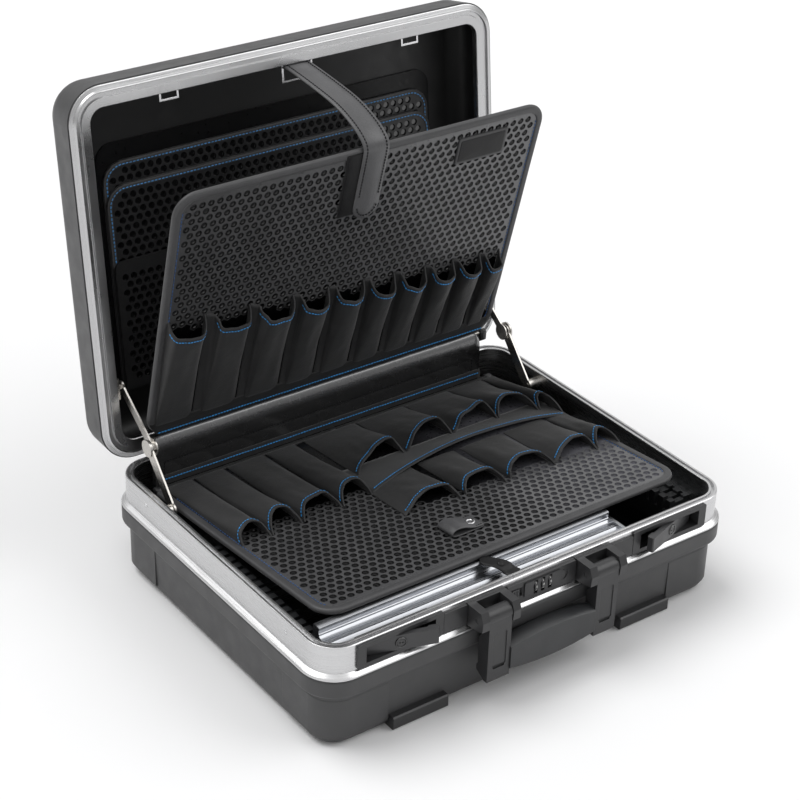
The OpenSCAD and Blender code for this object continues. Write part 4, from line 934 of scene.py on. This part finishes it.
def document_trim(name, hw, u0, u1, r, front, back):
    """Stitching and tape round the upper edge of a document pocket."""
    out = lid(0, 0, -1) - lid(0, 0, 0)

    def over_top(grow, corner, start, above, count):
        """Points up the right side, over the top and down the left side."""
        rim = rounded_outline(hw + grow, u0, u1 + grow, corner, 0, steps=10)
        line = [(hw + grow, start)] + [q for q in rim if q[1] > above] + [(-hw - grow, start)]
        return resample([Vector((x, u, 0)) for x, u in line], count)

    low = u1 - DOC_STITCHED
    seam = over_top(-DOC_INSET, r - DOC_INSET, low, low, 120)
    stitches(name + "_stitches", [[(lid(v.x, v.y, front - 0.25), out) for v in seam]], "lid",
             pale_thread, pitch=4.0, length=3.0, width=1.3)
    tape, path = over_top(0.4, r, u0 + 4, u1 - r - 2, 90), []
    for i, v in enumerate(tape):
        d = (tape[min(i + 1, 89)] - tape[max(i - 1, 0)]).normalized()
        path.append((lid(v.x, v.y, (front + back) / 2), lid(-d.y, d.x, 0) - lid(0, 0, 0), out))
    half = (back - front) / 2 + 0.35
    sweep(name + "_tape", path, [(5.6, half - 0.25), (5.2, half), (1.2, half), (0.1, half * 0.5),
                                 (0.1, -half * 0.5), (1.2, -half), (5.2, -half), (5.6, -half + 0.25)],
          [binding], "lid")


for node, name, hw, u0, u1, r, front, back in DOCS:
    dimpled(name, lid, hw, u0, u1, r, front, "lid", "board_lining", margin=9.0, depth=1.6,
            back=back, stands_for=(node,), mats=[net_painted_shade, net_bowl])
    if name != "document_lower":
        document_trim(name, hw, u0, u1, r, front, back)


# ---------------------------------------------------------------- carry strap
STRAP_X, STRAP_W, STRAP_T, STRAP_TIP = 4.0, 30.0, 2.6, 15.0
STRAP_SEAM, STRAP_LIFT = 11.2, 1.55  # stitching from the middle, and its height over the middle


def carry_strap():
    """Leather strap that arches from its staple in the lid over the upper board's edge."""
    knots = [lid(0, 356.6, 13), lid(0, 356.9, 1)]
    knots += [upper(0, s, t) for s, t in ((312, -90), (316, -50), (313.5, -20), (308.0, -3),
                                          (302.3, 3.4), (294, 4.9), (260, 4.7), (219, 4.6))]
    path = [Vector((STRAP_X, v.y, v.z)) for v in catmull(knots, 90)]
    strap = ribbon("carry_strap_leather", path, STRAP_W, STRAP_T, [strap_leather], "lid",
                   ("carry_strap",), tip=STRAP_TIP, edge=0.6)
    lines = [[(p + side * off + up * lift, up) for p, side, up in surface_frames(path[3:-10])]
             for off in (-STRAP_SEAM, STRAP_SEAM) for lift in (STRAP_LIFT, -STRAP_LIFT)]
    tip = path[-1]
    down = (tip - path[-12]).normalized()
    out = outward(upper).normalized()
    lines.append([(tip - down * (STRAP_TIP - STRAP_SEAM * math.sin(a))
                   + Vector((1, 0, 0)) * (-STRAP_SEAM * math.cos(a)) + out * STRAP_LIFT, out)
                  for a in (math.pi * k / 14 for k in range(15))])
    seam = stitches("carry_strap_stitches", lines, "lid", dark_thread, pitch=3.4, length=2.6,
                    width=1.5)
    for piece in (strap, seam):
        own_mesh(piece)
    # painted shadow of the strap: a black sheet left of the strap's end on the board, with dark
    # stitching round it
    ribbon("strap_painted_shadow", [upper(-13.0, 226 + 72 * k / 14, 3.4) for k in range(15)], 30, 1.6,
           [black_leather], "upper_board")
    stitches("strap_shadow_stitches",
             [[(upper(-13 + o, 228 + 68 * k / 20, 4.2), out) for k in range(21)] for o in (-12.6, 12.6)],
             "upper_board", dark_thread, pitch=3.0, length=2.3, width=0.8)


carry_strap()


# ---------------------------------------------------------------- padded spine between the boards
SPINE_X0, SPINE_X1 = -208, 196
SPINE_Y = 158.5  # front face of the spine


def spine_roll():
    """Padded roll: a crowned closed section from end to end, pulled in along its sewn channel."""
    knots = [(161.5, 83.6), (159.3, 86.0), (158.8, 97.0), (158.7, 107.0), (158.7, 116.0), (158.6, 125.0),
             (159.2, 134.0), (161.0, 141.0), (163.6, 144.6), (165.7, 143.4), (166.7, 139.0),
             (166.9, 134.5), (166.9, 125.0), (166.8, 115.0), (166.8, 105.0), (166.8, 95.0),
             (166.4, 86.0), (164.5, 83.6)]
    loop = catmull([Vector((0, y, z)) for y, z in knots + knots[:1]], 65)[:-1]
    cy = sum(v.y for v in loop) / len(loop)
    cz = sum(v.z for v in loop) / len(loop)
    verts, rows, n = [], 120, len(loop)
    for i in range(rows):
        x = SPINE_X0 + (SPINE_X1 - SPINE_X0) * i / (rows - 1)
        end = min(x - SPINE_X0, SPINE_X1 - x)
        tuck = 1 - 0.20 * max(0, 1 - end / 7) ** 2
        for v in loop:
            swell = 0.55 * ripple(x * 0.018, v.y * 0.05, v.z * 0.06)
            swell += 0.22 * ripple(x * 0.08, v.y * 0.1, v.z * 0.1)
            high = max(0, min(1, (v.z - 112) / 12))
            seam = -0.7 * math.exp(-((v.z - 116.5) / 1.4) ** 2) * (v.y < 164)
            ry, rz = v.y - cy, v.z - cz
            size = math.hypot(ry, rz)
            grow = (swell * high + seam * min(1, end / 10)) / max(size, 1)
            verts.append(Vector((x, cy + ry * (tuck + grow), cz + rz * (tuck + grow))))
    roll = new_object("spine_roll", verts, tube_faces(n, rows), [spine_leather_painted_crest], "base",
                      ("board_spine",), smooth=60)
    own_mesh(roll)
    out = Vector((0, -1, 0))
    lines = [[(Vector((-198 + 383 * k / 60, y, z)), out) for k in range(61)]
             for y, z in ((SPINE_Y - 0.15, 116.4), (SPINE_Y, 95.0))]
    lines += [[(Vector((x, SPINE_Y - 0.05, 102 + 14.4 * k / 10)), out) for k in range(11)]
              for x in (-198, 185)]
    stitches("spine_stitches", lines, "base", dark_thread, pitch=3.2, length=2.5, width=0.9)
    # brackets on the rods and feet on the frame, as the node has them
    boxes = []
    for x in (-207, 0, 207):
        boxes.append(((x - 4, 167.6, 128), (x + 4, 174.4, 141.2)))
        boxes.append(((x - 4, 151.6, 84.8), (x + 4, 161.0, 91.3)))
    for x in (-150, 0, 150):
        boxes.append(((x - 12, 165.5, 84.5), (x + 12, 176.3, 103.5)))
    for i, (lo, hi) in enumerate(boxes):
        w, h = hi[1] - lo[1], hi[2] - lo[2]
        sec = rounded_section(w, h, min(w, h) * (0.45 if i < 6 else 0.12), 5)
        mid = Vector((0, (lo[1] + hi[1]) / 2, (lo[2] + hi[2]) / 2))
        path = [(mid + Vector((x, 0, 0)), Vector((0, k, 0)), Vector((0, 0, k)))
                for x, k in ((lo[0], 0.9), (lo[0] + 0.5, 1.0), (hi[0] - 0.5, 1.0), (hi[0], 0.9))]
        sweep("spine_bracket_%d" % i, path, sec, [dark_plastic], "base")


spine_roll()


# ---------------------------------------------------------------- cloth bands along the boards' feet
def foot_band(name, place, body, profile, x0, x1, seam, out, mats):
    """Band of cloth that follows a profile of (a, b) points; seam is the (a, b) of its stitching."""
    sec = catmull([Vector((a, b, 0)) for a, b in profile], 15)
    verts, rows = [], 90
    for i in range(rows):
        x = x0 + (x1 - x0) * i / (rows - 1)
        for j, v in enumerate(sec):
            puff = 0.35 * ripple(x * 0.06, v.x * 0.2, 7.7) * math.sin(math.pi * j / 14)
            verts.append(place(x, v.x, v.y + puff))
    cloth = new_object(name, verts, grid_faces(15, rows), mats, body, smooth=180)
    modifier(cloth, "SOLIDIFY", thickness=0.0008, offset=0.0)
    line = [(place(x0 + 2 + (x1 - x0 - 4) * k / 90, seam[0] + 0.25 * ripple(k * 0.4, 1.5, 0),
                   seam[1]), out) for k in range(91)]
    seam_obj = stitches(name + "_stitches", [line], body, pitch=3.4, length=2.9, width=1.35)


def upper_clipped(x, s, t):
    """Point of the upper board, drawn in where the foot corners are round."""
    lift = min(max(s - BOARD_S0, 0), FOOT_R)
    reach = BOARD_HW - FOOT_R + math.sqrt(max(FOOT_R ** 2 - (FOOT_R - lift) ** 2, 0))
    return upper(x * reach / BOARD_HW, s, t)


def spine_front(x, z, out):
    return Vector((x, SPINE_Y - out, z))


foot_band("upper_foot_band", upper_clipped, "upper_board",
          [(24.5, 2.5), (20, 3.1), (12, 3.2), (8, 3.4), (5.2, 3.4)], -211.5, 211.5, (11.0, 3.9),
          outward(upper).normalized(), [foot_cloth])
foot_band("lower_foot_band", spine_front, "base",
          [(101.6, 0.2), (98, 0.7), (95.5, 0.9), (93.2, 1.0), (91.6, 1.2)], SPINE_X0, SPINE_X1,
          (97.6, 1.4), Vector((0, -1, 0)), [pocket_cloth])


# ---------------------------------------------------------------- wide flap on the lower board
def wide_flap():
    rim = catmull([Vector(p) for p in ((-47.6, 141.5, 0), (-20, 133, 0), (12, 125, 0), (59, 117, 0),
                                       (95, 114.5, 0), (131, 115.5, 0), (168, 119, 0), (198, 126, 0),
                                       (210.5, 131, 0))], 70)
    foot, base_t = 84, 2.6  # sewn line and height of the cloth there
    verts, lines, hems, rows = [], [], [], 12
    out = outward(lower).normalized()
    for i, p in enumerate(rim):
        f = i / (len(rim) - 1)
        lift = 1.0 + 6.0 * math.sin(math.pi * f) ** 0.7
        for k in range(rows):
            b = k / (rows - 1)
            s = foot + (p.y - foot) * b
            t = base_t + (lift - 0.4) * b ** 1.2
            t += 1.2 * ripple(p.x * 0.03, s * 0.03, 2.2) * math.sin(math.pi * b)
            verts.append(lower(p.x, s, max(t, base_t)))
        lines.append((lower(p.x, p.y - 3.6, base_t + lift * 0.93 + 0.35), out))
        top = base_t + lift - 0.4
        for ds, dt in ((-2.9, 0.75), (0.2, 0.65), (0.75, 0.0), (0.2, -0.65), (-2.9, -0.6)):
            hems.append(lower(p.x, p.y + ds, max(top + dt, 2.2)))
    flap = new_object("lower_flap", verts, grid_faces(rows, len(rim)), [flap_cloth], "lower_board",
                      smooth=180)
    modifier(flap, "SOLIDIFY", thickness=0.0008, offset=0.0)
    hem = new_object("lower_flap_hem", hems, grid_faces(5, len(rim), 0, wrap=True), [hem_cloth],
                     "lower_board", smooth=70)
    seam = stitches("lower_flap_stitches", [lines[1:-1]], "lower_board")


wide_flap()


# ---------------------------------------------------------------- plate, pull tab, hold-down strap
slab("plate_body", upper, pill(107, 252, 168, 283, 2.5), 1.8, 3.6, [dark_plastic], "upper_board",
     ("label_plate",), bevel=0.9, crown=0.15)
slab("plate_face", upper, pill(110, 255, 165, 280, 1.6), 3.3, 4.0, [black_leather], "upper_board",
     (), bevel=0.3, crown=0.1)


# folded pull tab: a loop of leather that is pinched flat by its eyelet
tab_line = catmull([lower(x, 250, t) for x, t in
                    ((-4.5, 3.0), (-16, 2.9), (-32, 2.9), (-39.5, 3.8), (-41.5, 6.6), (-37, 9.8),
                     (-28, 9.4), (-19, 6.4), (-12, 4.9), (-4.5, 4.7))], 56)
board_s = (lower(0, 1, 0) - lower(0, 0, 0)).normalized()
board_t = outward(lower).normalized()
sweep("pull_tab_leather", surface_frames(tab_line, board_s), rounded_section(24, 1.5, 0.6, 3),
      [strap_leather], "lower_board",
      ("pull_tab",), smooth=60)
stitches("pull_tab_stitches",
         [[(lower(x, 250 + d, 5.65), board_t) for x in (-16, -12, -8, -5.5)] for d in (-10, 10)],
         "lower_board", dark_thread, pitch=2.6, length=2.0, width=0.7)


def lathe(name, centre, axis, profile, mats, body, stands_for=(), count=36, smooth=45):
    """Turned form about an axis through centre, from (radius, height) pairs, ends left open."""
    axis = axis.normalized()
    u = axis.orthogonal().normalized()
    v = axis.cross(u)
    verts = []
    for r, h in profile:
        for k in range(count):
            a = 2 * math.pi * k / count
            verts.append(centre + axis * h + (u * math.cos(a) + v * math.sin(a)) * r)
    return new_object(name, verts, grid_faces(count, len(profile), 0, wrap=True), mats, body,
                      stands_for, smooth=smooth)


EYELET = [(2.5, -2.2), (2.5, 0.1), (2.8, 0.55), (3.6, 0.85), (4.6, 0.7), (5.2, 0.2), (5.2, -0.1),
          (4.6, -0.2), (3.0, -0.3), (2.5, -2.2)]
lathe("tab_eyelet_ring", lower(-12.5, 250, 5.7), board_t, EYELET, [bright_metal], "lower_board",
      ("tab_eyelet",))

# hold-down strap, slanting from the frame to its rounded tip on the divider
hold_line = catmull([Vector(p) for p in ((-21, -176.3, 109.3), (-24.5, -170.0, 110.6),
                                         (-27, -166.0, 113.2), (-30.5, -160.5, 114.7),
                                         (-36, -152.5, 114.8), (-41, -145.6, 114.8))], 44)
ribbon("hold_down_leather", hold_line, 15, 1.7, [black_leather], "base",
       ("hold_down_strap",), tip=7.5, edge=0.4)
lathe("hold_down_stud", hold_line[20] + Vector((0, -0.2, 0.8)), Vector((0, -0.35, 0.94)),
      [(0.1, 1.5), (1.8, 1.4), (3.0, 1.0), (3.5, 0.3), (3.5, -0.6)], [black_leather], "base",
      smooth=60)


# ---------------------------------------------------------------- lock dials and keyholes
def digits(name, x, radius, centre_y, centre_z, body):
    """The figures 0 to 9 round a dial, as raised ink."""
    verts, faces = [], []
    for n in range(10):
        curve = bpy.data.curves.new("figure", "FONT")
        curve.body = str(n)
        curve.size = 3.6
        curve.align_x, curve.align_y = "CENTER", "CENTER"
        curve.resolution_u = 3
        holder = bpy.data.objects.new("figure", curve)
        mesh = holder.to_mesh()
        start, turn = len(verts), math.radians(36 * n + 4)
        for v in mesh.vertices:
            a = turn + v.co.y / radius
            verts.append(Vector((x + v.co.x, centre_y - math.cos(a) * radius,
                                 centre_z + math.sin(a) * radius)))
        faces += [tuple(start + i for i in poly.vertices) for poly in mesh.polygons]
        holder.to_mesh_clear()
        bpy.data.objects.remove(holder)
        bpy.data.curves.remove(curve)
    obj = new_object(name, verts, faces, [ink], body, smooth=180)
    modifier(obj, "SOLIDIFY", thickness=0.00008, offset=0.0)


DIAL_R, DIAL_PITCH = 7.06, 8.4
for name, x in (("left", -DIAL_PITCH), ("middle", 0.0), ("right", DIAL_PITCH)):
    lo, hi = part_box("dial_" + name)
    cy, cz = (lo[1] + hi[1]) / 2 / MM, (lo[2] + hi[2]) / 2 / MM
    digits("dial_%s_figures" % name, x, DIAL_R, cy, cz, "dial_" + name)

LEVER_OPEN = math.radians(18)
for side, sign in (("left", -1), ("right", 1)):
    lo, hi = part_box("lock_cylinder_" + side)
    mid = Vector([(a + b) / 2 / MM for a, b in zip(lo, hi)])
    face = Vector((sign * math.sin(LEVER_OPEN), -math.cos(LEVER_OPEN), 0))
    points = NODES["lock_cylinder_" + side].data.vertices
    reach = max((Vector(v.co) / MM - mid).dot(face) for v in points)
    lathe("key_ring_" + side, mid + face * (reach - 0.5), face,
          [(4.15, 0.0), (4.15, 0.7), (4.5, 1.05), (5.2, 1.05), (5.6, 0.6), (5.7, -0.2)],
          [net_bowl], "latch_" + side)
    # a near-black slot stands in for the keyhole's opening: painted shade
    along = Vector((-face.y, face.x, 0)) * sign
    sec = rounded_section(0.9, 5.0, 0.4, 3)
    spot = mid + face * (reach + 0.02)
    sweep("key_slot_" + side, [(spot + face * h, along, Vector((0, 0, 1))) for h in (-0.3, 0.05)],
          sec, [net_bowl], "key_" + side)


# ---------------------------------------------------------------- ribbed divider
def divider():
    """Drawn aluminium section: broad top strip, two hollow channels and a double ridge between them."""
    hollow = [(-149.4, 104.6), (-151.0, 103.0), (-153.2, 102.2), (-155.6, 102.5), (-157.8, 103.5)]
    second = [(-162.6, 103.3), (-164.4, 102.0), (-166.3, 101.6), (-168.2, 102.0), (-169.6, 102.9)]
    ridge = [(-158.4, 103.7), (-158.7, 102.2), (-159.2, 102.2), (-159.5, 104.0), (-160.6, 104.0),
             (-160.9, 102.2), (-161.4, 102.2), (-161.7, 103.7)]
    section = [(-139.6, 60.2), (-139.6, 112.0), (-139.9, 112.7), (-140.6, 112.98), (-144.5, 113.0),
               (-148.2, 112.9), (-149.0, 112.5), (-149.3, 111.8), (-149.3, 110.4), (-148.6, 109.6),
               (-148.6, 106.6), (-149.4, 105.8)] + hollow + ridge + second + [
               (-170.0, 102.7), (-170.1, 102.1), (-170.1, 93.1), (-168.9, 93.1), (-168.9, 99.8),
               (-142.1, 99.8), (-142.1, 66.0), (-142.0, 60.2)]
    x0, x1, rows, n = -222.4, 113.9, 60, len(section)
    verts = []
    for i in range(rows):
        x = x0 + (x1 - x0) * i / (rows - 1)
        for y, z in section:
            dent = 0.12 * ripple(x * 0.02, y * 0.1, z * 0.1)
            verts.append(Vector((x, y, z - abs(dent) if z > 100 else z)))
    faces = grid_faces(n, rows, 0, wrap=True)
    faces += [tuple(range(n)), tuple((rows - 1) * n + k for k in range(n - 1, -1, -1))]
    new_object("divider_section", verts, faces, [divider_metal], "base",
               ("front_divider",), smooth=35)


divider()
